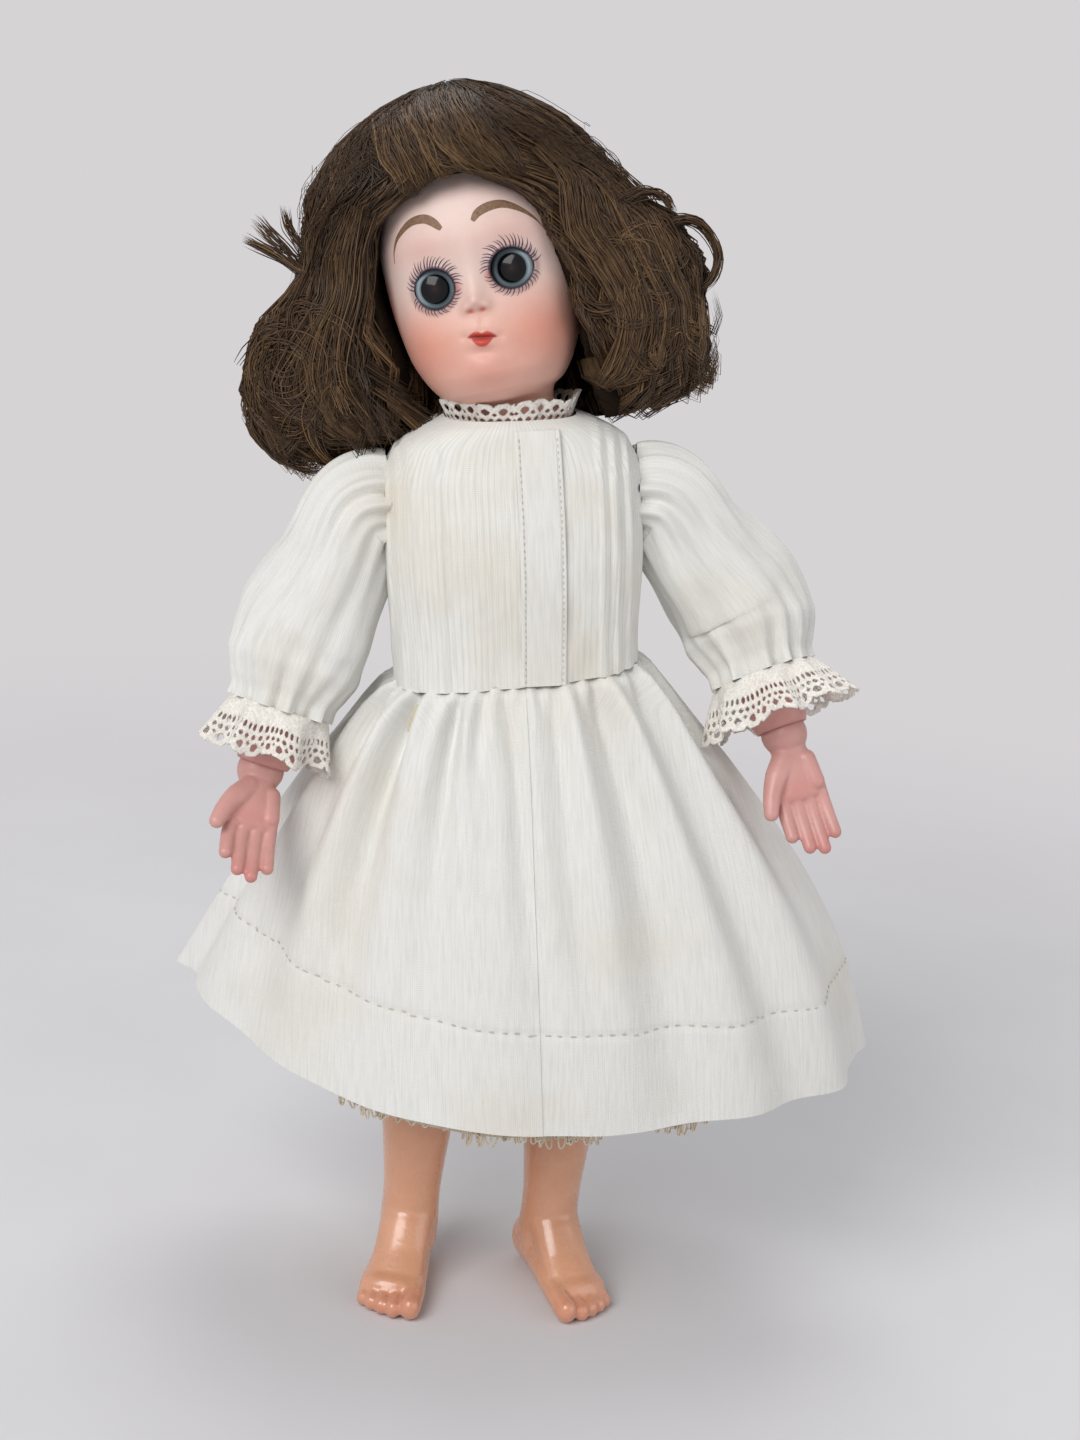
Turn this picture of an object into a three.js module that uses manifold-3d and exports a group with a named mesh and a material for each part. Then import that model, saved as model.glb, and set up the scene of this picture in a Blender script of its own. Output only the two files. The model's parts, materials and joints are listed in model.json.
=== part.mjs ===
// Jointed doll with a bisque socket head, a sleeping-eye rocker, a wig, a strung
// composition body and a tucked cotton dress over a fringed petticoat.
// Millimetres, +Z up, the doll faces -Y and its left hand is on the +X side.
// It stands as photographed: barefoot, torso leaning, head tilted, arms hanging.

import * as THREE from 'three';
import { mergeVertices } from 'three/addons/utils/BufferGeometryUtils.js';
import Module from 'manifold-3d';

const wasm = await Module();
wasm.setup();

const { sin, cos, PI, abs, min } = Math;
const deg = (angle) => angle * PI / 180;

// Clearances.
const FIT = 0.4;              // running gap between a ball and its socket
const SEAT = 0.35;            // gap between pieces that only rest on each other
const CLOTH = 0.9;            // thickness of the cotton
const CORD_RADIUS = 1.2;      // elastic stringing
const BORE_RADIUS = 3.2;      // hole along each limb for the stringing
const SLOT_WIDTH = 3.9;       // slot in each ball for the stringing
const CORD_END = 1.5;         // each cord stops this short of a ball's centre
const TIDY = 0.15;            // a cut surface may move by this much when it is thinned out

// Body.
const HIP_HEIGHT = 142;       // hip joints above the soles
const HIP_X = 20;             // hip joints from the middle
const HIP_BALL = 13.5;
const THIGH_LENGTH = 60;      // hip joint to knee joint
const THIGH_RADIUS = 12.2;
const KNEE_BALL = 8.4;
const CALF_RADIUS = 10.4;
const ANKLE_RADIUS = 8.3;
const ANKLE_HEIGHT = 24;
const FOOT_FRONT = 30;        // ankle axis to the tip of the toes
const FOOT_BACK = 13.6;
const SHOULDER_X = 38;        // shoulder joints from the middle
const SHOULDER_Z = 81;        // shoulder joints above the hip joints
const SHOULDER_BALL = 9;
const UPPER_ARM_LENGTH = 39;
const UPPER_ARM_RADIUS = 8.3;
const ELBOW_BALL = 7.2;
const FOREARM_LENGTH = 36;
const FOREARM_RADIUS = 8.2;
const WRIST_BALL = 6.2;
const HAND_LENGTH = 34;       // wrist joint to the tip of the middle finger
const NECK_RISE = 21.3;       // neck joint above the shoulder joints
const NECK_Z = SHOULDER_Z + NECK_RISE;
const NECK_BALL = 13;         // rounded lower end of the bisque neck
const NECK_HOLE = 6;          // hole under the neck that the hook passes through
const TORSO_WALL = 2.6;
const SHELL_SEAM = 0.3;       // gap at the side seam of the torso halves

// Head.
const HEAD_WALL = 2.8;
const PLUG_RADIUS = 9.7;
const EYE_RADIUS = 7.5;
const EYE_X = 9.7;
const EYE_Y = -14;
const EYE_Z = 36;             // above the neck joint
const EYE_TILT = 4.5;         // degrees, higher on the doll's left
const CROWN_FRONT_Z = 61;     // sloping rim of the crown opening
const CROWN_SLOPE = deg(12);
const HAIR_SPLIT_Z = 45;      // the crown of the wig ends here and its curls begin

// Dress.
const WAIST_Z = 37.5;         // waist seam above the hip joints
const WAIST_TILT = deg(3.5);  // the seam rides up on the doll's left
const BODICE_EASE = 2;        // bodice stands off the torso by this much
const ARMHOLE_RADIUS = 13;
const HEM_HEIGHT = 67.5;      // skirt hem above the soles, in front
const HEM_RISE = 9;           // the hem is this much higher at the sides
const HEM_HALF_WIDTH = 93;
const HEM_HALF_DEPTH = 43;
const HEM_SHIFT = 8;          // the skirt hangs towards the doll's left by this much
const SKIRT_SWELL = 4.2;      // cloth stands out from the straight line between waist and hem
const SKIRT_SIDE_SWELL = 8.5; // and more at the doll's left
const PLEATS = 15;            // folds behind, counted all round
const PETTICOAT_HEM = 58.5;
const PETTICOAT_RISE = 4;
const CUFF_RADIUS = 13;
const CUFF_DISTANCE = 19;     // elbow joint to the gathered cuff
const RUFFLE_LENGTH = 13;
const RUFFLE_FLARE = { left: 6.5, right: 2.5 };
const PLACKET_WIDTH = 11.6;
const PLACKET_X = 4.9;

// Rest pose, degrees.
const TORSO_ROLL = 6.55;         // towards the doll's right
const TORSO_LEAN = -1;
const HEAD_TURN = 11;         // towards the doll's right
const HEAD_NOD = 4;           // chin up
const HEAD_TILT = 10;         // towards the doll's right
const FOOT_TURN = { left: 20, right: 14 };
const ARM_POSE = {
  left: { swing: 6, raise: 35.7, turn: -28.9, flex: 33.9, twist: -19, bend: 5.3, palm: 60 },
  right: { swing: 4.3, raise: 26.8, turn: 15.7, flex: 18, twist: -10.4, bend: 35.3, palm: 0 },
};

// Materials.
const finish = (color, roughness, metalness = 0) =>
  new THREE.MeshStandardMaterial({ color, roughness, metalness });
const MATERIALS = {
  bisque: finish(0xf0c8b4, 0.55),
  limbs: finish(0xdfa688, 0.35),
  hands: finish(0xd99c94, 0.5),
  hair: finish(0x4e3b28, 0.6),
  cotton: finish(0xdedbd2, 0.9),
  lace: finish(0xf0ece2, 0.9),
  petticoat: finish(0xd8c8a8, 0.9),
  glass: finish(0x252a30, 0.08),
  steel: finish(0x8d8f90, 0.35, 1),
  lead: finish(0x6c6e72, 0.6, 1),
  elastic: finish(0xcdc6b6, 0.8),
  wood: finish(0xb08a5a, 0.6),
  card: finish(0xa58b66, 0.85),
  cork: finish(0xa9825a, 0.9),
  button: finish(0xf3efe4, 0.3),
};

// Solids.

/** Copy a three.js geometry into a solid that can be joined and cut. */
function toSolid(geometry) {
  const bare = geometry.clone();
  bare.deleteAttribute('normal');
  bare.deleteAttribute('uv');
  const merged = mergeVertices(bare, 1e-4);
  return new wasm.Manifold(new wasm.Mesh({
    numProp: 3,
    vertProperties: new Float32Array(merged.attributes.position.array),
    triVerts: new Uint32Array(merged.index.array),
  }));
}

/** Copy a joined or cut solid back into a three.js geometry. */
function toGeometry(solid) {
  const mesh = solid.getMesh();
  const geometry = new THREE.BufferGeometry();
  geometry.setAttribute('position', new THREE.BufferAttribute(new Float32Array(mesh.vertProperties), 3));
  geometry.setIndex(new THREE.BufferAttribute(new Uint32Array(mesh.triVerts), 1));
  geometry.computeVertexNormals();
  return geometry;
}

/** The largest connected body of a cut solid, with no loose slivers and fewer triangles. */
function mainBody(solid, tidy = TIDY) {
  return solid.simplify(tidy).decompose().sort((a, b) => b.volume() - a.volume())[0];
}

const cutFrom = (body, ...tools) => tools.reduce((rest, tool) => rest.subtract(tool), body);
const join = (...bodies) => bodies.reduce((sum, body) => sum.add(body));

function ball(radius, x = 0, y = 0, z = 0, across = 14, along = 8) {
  return toSolid(new THREE.SphereGeometry(radius, across, along).rotateX(PI / 2).translate(x, y, z));
}

/** An egg with its own half-size on each axis. */
function egg(x, y, z, rx, ry, rz, across = 10, along = 6) {
  const shape = new THREE.SphereGeometry(1, across, along).rotateX(PI / 2).scale(rx, ry, rz);
  return toSolid(shape.translate(x, y, z));
}

/** A block between two corners. */
function block(x0, y0, z0, x1, y1, z1) {
  const shape = new THREE.BoxGeometry(x1 - x0, y1 - y0, z1 - z0);
  return toSolid(shape.translate((x0 + x1) / 2, (y0 + y1) / 2, (z0 + z1) / 2));
}

/** A round bar between two points. */
function bar(radius, from, to, sides = 10) {
  const start = new THREE.Vector3(...from);
  const run = new THREE.Vector3(...to).sub(start);
  const shape = new THREE.CylinderGeometry(radius, radius, run.length(), sides);
  const turn = new THREE.Quaternion().setFromUnitVectors(
    new THREE.Vector3(0, 1, 0), run.clone().normalize());
  return toSolid(shape.applyQuaternion(turn).translate(...start.addScaledVector(run, 0.5).toArray()));
}

/** Turn a closed outline of [radius, z] points about the Z axis. */
function turned(outline, sides = 14) {
  const points = [...outline, outline[0]].map(([radius, z]) => new THREE.Vector2(radius, z));
  return facingOut(new THREE.LatheGeometry(points, sides).rotateX(PI / 2));
}

/** Reverse the triangles of a closed geometry whose faces look inwards. */
function facingOut(geometry) {
  const flat = mergeVertices(geometry.clone(), 1e-4);
  const position = flat.attributes.position;
  const index = flat.index.array;
  const corner = (i) => new THREE.Vector3().fromBufferAttribute(position, index[i]);
  let volume = 0;
  for (let i = 0; i < index.length; i += 3) {
    volume += corner(i).dot(corner(i + 1).cross(corner(i + 2)));
  }
  if (volume > 0) return geometry;
  const indexed = geometry.index ? geometry : mergeVertices(geometry, 1e-6);
  const order = indexed.index.array;
  for (let i = 0; i < order.length; i += 3) {
    [order[i], order[i + 1]] = [order[i + 1], order[i]];
  }
  indexed.computeVertexNormals();
  return indexed;
}

/** Close a stack of rings, each a loop of points, with a fan at either end. */
function stack(rings) {
  const count = rings[0].length;
  const positions = rings.flat().flatMap((p) => p.toArray());
  const triangles = [];
  for (let r = 0; r + 1 < rings.length; r += 1) {
    for (let i = 0; i < count; i += 1) {
      const a = r * count + i;
      const b = r * count + (i + 1) % count;
      triangles.push(a, b, a + count, b, b + count, a + count);
    }
  }
  for (const [ring, flip] of [[0, true], [rings.length - 1, false]]) {
    const middle = new THREE.Vector3();
    rings[ring].forEach((p) => middle.addScaledVector(p, 1 / count));
    const centre = positions.length / 3;
    positions.push(...middle.toArray());
    for (let i = 0; i < count; i += 1) {
      const a = ring * count + i;
      const b = ring * count + (i + 1) % count;
      triangles.push(...(flip ? [b, a, centre] : [a, b, centre]));
    }
  }
  const geometry = new THREE.BufferGeometry();
  geometry.setAttribute('position', new THREE.Float32BufferAttribute(positions, 3));
  geometry.setIndex(triangles);
  return facingOut(geometry);
}

/**
 * A cloth of two skins, outer(u, v) and inner(u, v), joined along its edges.
 * With around set, u wraps round from 1 to 0.
 */
function cloth(outer, inner, acrossCount, downCount, around) {
  const columns = around ? acrossCount : acrossCount + 1;
  const at = (skin, i, j) => skin * columns * (downCount + 1) + j * columns + (i % columns);
  const positions = [];
  for (const skin of [outer, inner]) {
    for (let j = 0; j <= downCount; j += 1) {
      for (let i = 0; i < columns; i += 1) {
        positions.push(...skin(i / acrossCount, j / downCount).toArray());
      }
    }
  }
  const triangles = [];
  const quad = (a, b, c, d) => triangles.push(a, b, c, a, c, d);
  for (let i = 0; i < acrossCount; i += 1) {
    for (let j = 0; j < downCount; j += 1) {
      quad(at(0, i, j), at(0, i, j + 1), at(0, i + 1, j + 1), at(0, i + 1, j));
      quad(at(1, i, j), at(1, i + 1, j), at(1, i + 1, j + 1), at(1, i, j + 1));
    }
    quad(at(0, i, 0), at(0, i + 1, 0), at(1, i + 1, 0), at(1, i, 0));
    quad(at(0, i, downCount), at(1, i, downCount), at(1, i + 1, downCount), at(0, i + 1, downCount));
  }
  if (!around) {
    for (let j = 0; j < downCount; j += 1) {
      quad(at(0, 0, j), at(1, 0, j), at(1, 0, j + 1), at(0, 0, j + 1));
      const last = acrossCount;
      quad(at(0, last, j), at(0, last, j + 1), at(1, last, j + 1), at(1, last, j));
    }
  }
  const geometry = new THREE.BufferGeometry();
  geometry.setAttribute('position', new THREE.Float32BufferAttribute(positions, 3));
  geometry.setIndex(triangles);
  return facingOut(geometry);
}

/** Read a table of [z, ...values] rows at any height, straight between rows. */
function readStations(stations, z) {
  const last = stations.length - 1;
  const upper = stations.findIndex((row) => row[0] >= z);
  if (upper === 0) return stations[0].slice(1);
  if (upper < 0) return stations[last].slice(1);
  const [low, high] = [stations[upper - 1], stations[upper]];
  const t = (z - low[0]) / (high[0] - low[0]);
  return low.slice(1).map((value, i) => value + (high[i + 1] - value) * t);
}

/** One rounded-square ring: half-width, depth in front, depth behind, squareness. */
function section(z, width, front, back, power, count) {
  return Array.from({ length: count }, (_, i) => {
    const angle = 2 * PI * i / count;
    const [s, c] = [sin(angle), cos(angle)];
    const depth = c > 0 ? front : back;
    const reach = (abs(s) ** power + abs(c) ** power) ** (-1 / power);
    return new THREE.Vector3(width * s * reach, -depth * c * reach, z);
  });
}

/** A solid through a table of stations, grown or shrunk sideways by an offset. */
function bodyThrough(stations, grow, power, count = 16) {
  return toSolid(stack(stations.map(([z, width, front, back]) =>
    section(z, width + grow, front + grow, back + grow, power, count))));
}

/** A wedge of a disc in the YZ or XZ plane, to cut a slot from a ball's centre outwards. */
function slot(plane, fromAngle, toAngle, radius, width = SLOT_WIDTH) {
  const outline = new THREE.Shape();
  const middle = (fromAngle + toAngle) / 2;
  outline.moveTo(-2 * sin(middle), -2 * cos(middle));
  for (let i = 0; i <= 4; i += 1) {
    const angle = fromAngle + (toAngle - fromAngle) * i / 4;
    outline.lineTo(1.35 * radius * sin(angle), 1.3 * radius * cos(angle));
  }
  const plate = new THREE.ExtrudeGeometry(outline, { depth: width, bevelEnabled: false });
  plate.translate(0, 0, -width / 2);
  const axes = plane === 'xz'
    ? [new THREE.Vector3(1, 0, 0), new THREE.Vector3(0, 0, 1), new THREE.Vector3(0, -1, 0)]
    : [new THREE.Vector3(0, 1, 0), new THREE.Vector3(0, 0, 1), new THREE.Vector3(1, 0, 0)];
  return toSolid(plate.applyMatrix4(new THREE.Matrix4().makeBasis(...axes)));
}

/**
 * A limb turned about Z between two balls, at z = 0 and z = -length, with a cup at
 * either end and a bore along it. The shape lists [share of length, radius] points.
 */
function limbOutline(length, topBall, topRim, lowBall, lowRim, shape) {
  const arc = (centre, radius, fromAngle, toAngle, way) => {
    const steps = Math.ceil(abs(toAngle - fromAngle) / deg(15));
    return Array.from({ length: steps + 1 }, (_, i) => {
      const angle = fromAngle + (toAngle - fromAngle) * i / steps;
      return [radius * sin(angle), centre + way * radius * cos(angle)];
    });
  };
  const top = topBall + FIT;
  const low = lowBall + FIT;
  return [
    ...arc(0, top, Math.asin(BORE_RADIUS / top), topRim, -1),
    ...shape.map(([share, radius]) => [radius, -share * length]),
    ...arc(-length, low, lowRim, Math.asin(BORE_RADIUS / low), 1),
  ];
}

function cordAlong(points, sides = 6) {
  const path = points.length === 3
    ? new THREE.QuadraticBezierCurve3(...points)
    : new THREE.LineCurve3(...points);
  const round = new THREE.Shape();
  for (let i = 0; i < sides; i += 1) {
    const angle = 2 * PI * i / sides;
    const [x, y] = [CORD_RADIUS * cos(angle), CORD_RADIUS * sin(angle)];
    if (i) round.lineTo(x, y);
    else round.moveTo(x, y);
  }
  const steps = points.length === 3 ? 8 : 1;
  return new THREE.ExtrudeGeometry(round, { steps, extrudePath: path, bevelEnabled: false });
}

function straightCord(topZ, lowZ) {
  return cordAlong([new THREE.Vector3(0, 0, topZ), new THREE.Vector3(0, 0, lowZ)]);
}

// Assembly frames.
const doll = new THREE.Group();
doll.name = 'jointed_doll';

/** Add a named moving frame to a parent, turned by angles in a given order. */
function frame(parent, name, place, angles = [0, 0, 0], order = 'XYZ') {
  const group = new THREE.Group();
  group.name = name;
  group.position.set(...place);
  group.rotation.set(...angles.map(deg), order);
  parent.add(group);
  return group;
}

/** Add a named piece, from a geometry or a solid, to a frame. */
function piece(parent, name, shape, material) {
  const geometry = shape.isBufferGeometry ? shape : toGeometry(mainBody(shape));
  const mesh = new THREE.Mesh(geometry, MATERIALS[material]);
  mesh.name = name;
  parent.add(mesh);
  return mesh;
}

/** The matrix that carries one frame's coordinates into another's. */
function between(from, to) {
  doll.updateMatrixWorld(true);
  return to.matrixWorld.clone().invert().multiply(from.matrixWorld);
}

const moved = (solid, matrix) => solid.transform(matrix.elements);

const torso = frame(doll, 'torso_assembly', [0, 0, HIP_HEIGHT], [-TORSO_LEAN, -TORSO_ROLL, 0], 'YXZ');
const neck = frame(torso, 'neck_frame', [0, 0, NECK_Z], [0, 0, -HEAD_TURN]);
const plug = frame(neck, 'plug_frame', [0, 0, 0], [-HEAD_NOD, 0, 0]);
const head = frame(plug, 'head_assembly', [0, 0, 0], [0, -HEAD_TILT, 0]);
const rocker = frame(head, 'eye_rocker_assembly', [0, EYE_Y, EYE_Z], [0, -EYE_TILT, 0]);

// Torso.
// Rows are height above the hip joints, half-width, depth in front and depth behind.
const TORSO = [
  [-14, 9, 9, 10],
  [-9, 24, 16, 17],
  [-3, 30, 20, 21],
  [16, 30.5, 22, 20.5],
  [WAIST_Z - 9.5, 28.5, 22.5, 18.5],
  [WAIST_Z + 0.5, 27.5, 22.5, 17],
  [SHOULDER_Z - 15, 30.5, 24, 20],
  [SHOULDER_Z - 3, 31.5, 23, 20.5],
  [SHOULDER_Z + 7, 31.5, 21, 19],
  [NECK_Z - 5, 28, 18.5, 17.5],
  [NECK_Z, 20, 17, 16.5],
];
const TORSO_FLOOR_ROW = 3;    // the hollow starts at this row
const TORSO_TOP_ROW = 8;      // and ends at this one
const DRESS_ROW = 4;          // the bodice starts at this row
const TORSO_POWER = 2.2;
const BODICE_POWER = 2.9;
const FLOOR_Z = 16;           // the hip sockets are sunk in a solid floor below this
const LEG_OPENING = 13.4;     // the front of the torso is cut up to here for sitting
const CROTCH_X = 6.2;         // half-width of the strip left between the legs

function torsoHalves() {
  const outer = bodyThrough(TORSO, 0, TORSO_POWER, 18);
  const hollow = bodyThrough(TORSO.slice(TORSO_FLOOR_ROW, TORSO_TOP_ROW + 1), -TORSO_WALL, TORSO_POWER);
  const cuts = [hollow, ball(NECK_BALL + FIT, 0, 0, NECK_Z, 22, 13),
    bar(NECK_HOLE, [0, 0, SHOULDER_Z], [0, 0, NECK_Z], 12)];
  for (const side of [-1, 1]) {
    const hipCuts = [
      ball(HIP_BALL + FIT, side * HIP_X, 0, HIP_HEIGHT, 18, 12),
      bar(BORE_RADIUS, [side * HIP_X, 0, HIP_HEIGHT], [side * HIP_X, 0, HIP_HEIGHT + FLOOR_Z + 4]),
      ...[[-6.5, LEG_OPENING], [60, -1.5]].map(([back, top]) =>
        block(side > 0 ? CROTCH_X : -60, -60, HIP_HEIGHT - 30, side > 0 ? 60 : -CROTCH_X, back, HIP_HEIGHT + top)),
    ];
    cuts.push(...hipCuts.map((cut) => moved(cut, between(doll, torso))));
    cuts.push(ball(SHOULDER_BALL + FIT, side * SHOULDER_X, 0, SHOULDER_Z, 14, 9));
    cuts.push(bar(BORE_RADIUS, [side * 24, 0, SHOULDER_Z], [side * 36, 0, SHOULDER_Z]));
  }
  const shell = cutFrom(outer, ...cuts);
  const half = SHELL_SEAM / 2;
  return {
    front: shell.intersect(block(-60, -60, -30, 60, -half, 120)),
    back: shell.intersect(block(-60, half, -30, 60, 60, 120)),
  };
}

const halves = torsoHalves();
piece(torso, 'torso_front', halves.front, 'limbs');
piece(torso, 'torso_back', halves.back, 'limbs');

const HOOK_RING_Z = 5 - NECK_RISE;    // the neck hook's ring hangs over the arm elastic
const HOOK_RING = 2.6;
const HOOK_WIRE = 0.9;
const shoulderCord = SHOULDER_X - CORD_END;
piece(torso, 'arm_elastic', cordAlong([
  new THREE.Vector3(-shoulderCord, 0, SHOULDER_Z),
  new THREE.Vector3(shoulderCord, 0, SHOULDER_Z),
]), 'elastic');
const hipPlace = (side, above) =>
  new THREE.Vector3(side * HIP_X, 0, HIP_HEIGHT + above).applyMatrix4(between(doll, torso));
for (const [name, side] of [['left', 1], ['right', -1]]) {
  piece(torso, `leg_elastic_${name}`, cordAlong([
    new THREE.Vector3(side * (CORD_RADIUS + 0.4), 0, SHOULDER_Z - CORD_RADIUS - SEAT),
    hipPlace(side, 40),
    hipPlace(side, CORD_END),
  ]), 'elastic');
}

// Head.
// Rows are height above the neck joint, half-width, depth in front and depth behind.
const HEAD = [
  [-11, 6.9, 6.9, 6.9],
  [-6, 11.5, 11.5, 11.5],
  [1, 12.9, 12.9, 12.9],
  [4.2, 12.2, 12.3, 12.2],
  [6.5, 12.8, 18.5, 12.6],
  [9, 16, 23.6, 15.6],
  [14, 19.4, 25.2, 19],
  [20, 21.8, 25, 23],
  [36, 24.2, 23.6, 28],
  [45, 24.4, 24.6, 28.6],
  [54, 22.8, 22.6, 27.4],
  [62, 18.4, 17.6, 23],
  [68, 12, 11, 15.4],
  [71.5, 4, 4, 5.5],
];
const HEAD_POWER = 2.15;
const neckHollow = PLUG_RADIUS + FIT;

const headOuter = bodyThrough(HEAD, 0, HEAD_POWER);
const hollowRows = HEAD.filter(([z]) => [1, 9, 20, 36, 54, 62, 68].includes(z));
const headInner = bodyThrough(hollowRows, -HEAD_WALL, HEAD_POWER, 12);

/** A slab above the sloping crown rim, raised by a gap. */
function aboveCrown(gap) {
  const slab = new THREE.BoxGeometry(90, 120, 60).translate(0, 0, 30 + gap);
  slab.rotateX(-CROWN_SLOPE).translate(0, -18, CROWN_FRONT_Z);
  return toSolid(slab);
}

const eyeTilt = new THREE.Matrix4().makeTranslation(0, 0, EYE_Z)
  .multiply(new THREE.Matrix4().makeRotationY(-deg(EYE_TILT)))
  .multiply(new THREE.Matrix4().makeTranslation(0, 0, -EYE_Z));

function headShell() {
  const nose = egg(0, -24.6, 28.6, 2.9, 3.4, 4.2, 8, 4);
  const mouth = egg(0, -24.2, 20.6, 3.9, 1.7, 2.4, 8, 4);
  const ears = [-1, 1].map((side) => egg(side * 23.4, 3, 30, 2.4, 4.6, 6.6, 8, 4));
  const eyes = [-1, 1].flatMap((side) => [
    egg(side * EYE_X, EYE_Y - 7, EYE_Z, 5.1, 7, 4.6, 12, 6),
    ball(EYE_RADIUS + FIT, side * EYE_X, EYE_Y, EYE_Z, 14, 9),
  ]).map((cut) => moved(cut, eyeTilt));
  return cutFrom(join(headOuter, nose, mouth, ...ears), aboveCrown(0), headInner,
    ball(neckHollow, 0, 0, 0, 16, 10), bar(5.6, [0, 0, -14], [0, 0, 0]), ...eyes);
}

piece(head, 'head_shell', headShell(), 'bisque');
const pate = cutFrom(headOuter.intersect(aboveCrown(SEAT)), headInner);
piece(head, 'pate', pate, 'card');

// The eyeballs, wire and lead weight rock together about the line through both eyes.
const WIRE_Y = EYE_RADIUS + HOOK_WIRE + FIT;
const WEIGHT_TOP = -12;
for (const [name, side] of [['left', 1], ['right', -1]]) {
  piece(rocker, `eyeball_${name}`, ball(EYE_RADIUS, side * EYE_X, 0, 0, 14, 8), 'glass');
}
piece(rocker, 'eye_wire', join(
  bar(HOOK_WIRE, [-EYE_X - 2, WIRE_Y, 0], [EYE_X + 2, WIRE_Y, 0], 8),
  bar(HOOK_WIRE, [0, WIRE_Y, 0], [0, WIRE_Y, WEIGHT_TOP + FIT], 8)), 'steel');
piece(rocker, 'eye_weight', bar(5, [0, WIRE_Y, WEIGHT_TOP], [0, WIRE_Y, WEIGHT_TOP - 8], 12), 'lead');
const stopZ = EYE_Z + WEIGHT_TOP - 4;
const stopBack = EYE_Y + WIRE_Y - 5 - SEAT;
piece(head, 'eye_stop', moved(bar(3, [0, -26, stopZ], [0, stopBack, stopZ], 8), eyeTilt)
  .intersect(bodyThrough(hollowRows, -HEAD_WALL - 0.2, HEAD_POWER, 12)), 'cork');

// Wooden plug in the neck and the wire hook that the leg elastic pulls down.
piece(plug, 'neck_plug', cutFrom(ball(PLUG_RADIUS),
  block(-20, -20, 5, 20, 20, 20), block(-20, -20, -20, 20, 20, -6.5),
  bar(BORE_RADIUS, [0, 0, -20], [0, 0, 20])), 'wood');
const hookTop = 5 + HOOK_WIRE + 0.45;
const ring = (radius, wire, z) =>
  toSolid(new THREE.TorusGeometry(radius, wire, 4, 8).rotateX(PI / 2).translate(0, 0, z));
piece(neck, 'neck_hook', join(
  bar(HOOK_WIRE, [-5, 0, hookTop], [5, 0, hookTop], 6),
  bar(HOOK_WIRE, [0, 0, hookTop], [0, 0, HOOK_RING_Z + HOOK_RING], 6),
  moved(ring(HOOK_RING, HOOK_WIRE, 0), new THREE.Matrix4().makeTranslation(0, 0, HOOK_RING_Z))), 'steel');

// Arms.
const hookRing = 2;
const hookWire = 0.7;
const hookRingZ = 9.5;        // ring of each hand hook above the wrist joint

function jointBall(radius, ...cuts) {
  return cutFrom(ball(radius, 0, 0, 0, 12, 6), ...cuts);
}

/** A round-ended finger from one point to another. */
function finger(radius, from, to) {
  return wasm.Manifold.hull([ball(radius, ...from, 6, 3), ball(radius * 0.85, ...to, 6, 3)]);
}

/** A hand below its wrist ball, palm towards -Y and thumb outwards before its turn. */
function handSolid(palmTurn) {
  const thumbSide = -1;
  const palm = wasm.Manifold.hull([
    ball(4.6, 0, 0, -6, 8, 4),
    ball(3.2, -4.6, 0, -16, 7, 4),
    ball(3.2, 4.6, 0, -16, 7, 4),
  ]);
  const tips = [0.86, 0.97, 1, 0.9];
  const fingers = tips.map((share, i) => {
    const x = (1.5 - i) * 3.6 * thumbSide;
    return finger(2, [x, 0, -17], [x * 1.08, -1.6, -share * HAND_LENGTH + 1.8]);
  });
  const thumb = finger(2.3, [thumbSide * 5, -1, -10], [thumbSide * 9.6, -3.4, -20.5]);
  const turned = moved(join(palm, thumb, ...fingers), new THREE.Matrix4().makeRotationZ(palmTurn));
  return cutFrom(join(ball(WRIST_BALL, 0, 0, 0, 12, 7), turned),
    slot('yz', deg(-80), deg(38), WRIST_BALL), bar(1.2, [-3.8, 0, 0], [3.8, 0, 0], 8));
}

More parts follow.
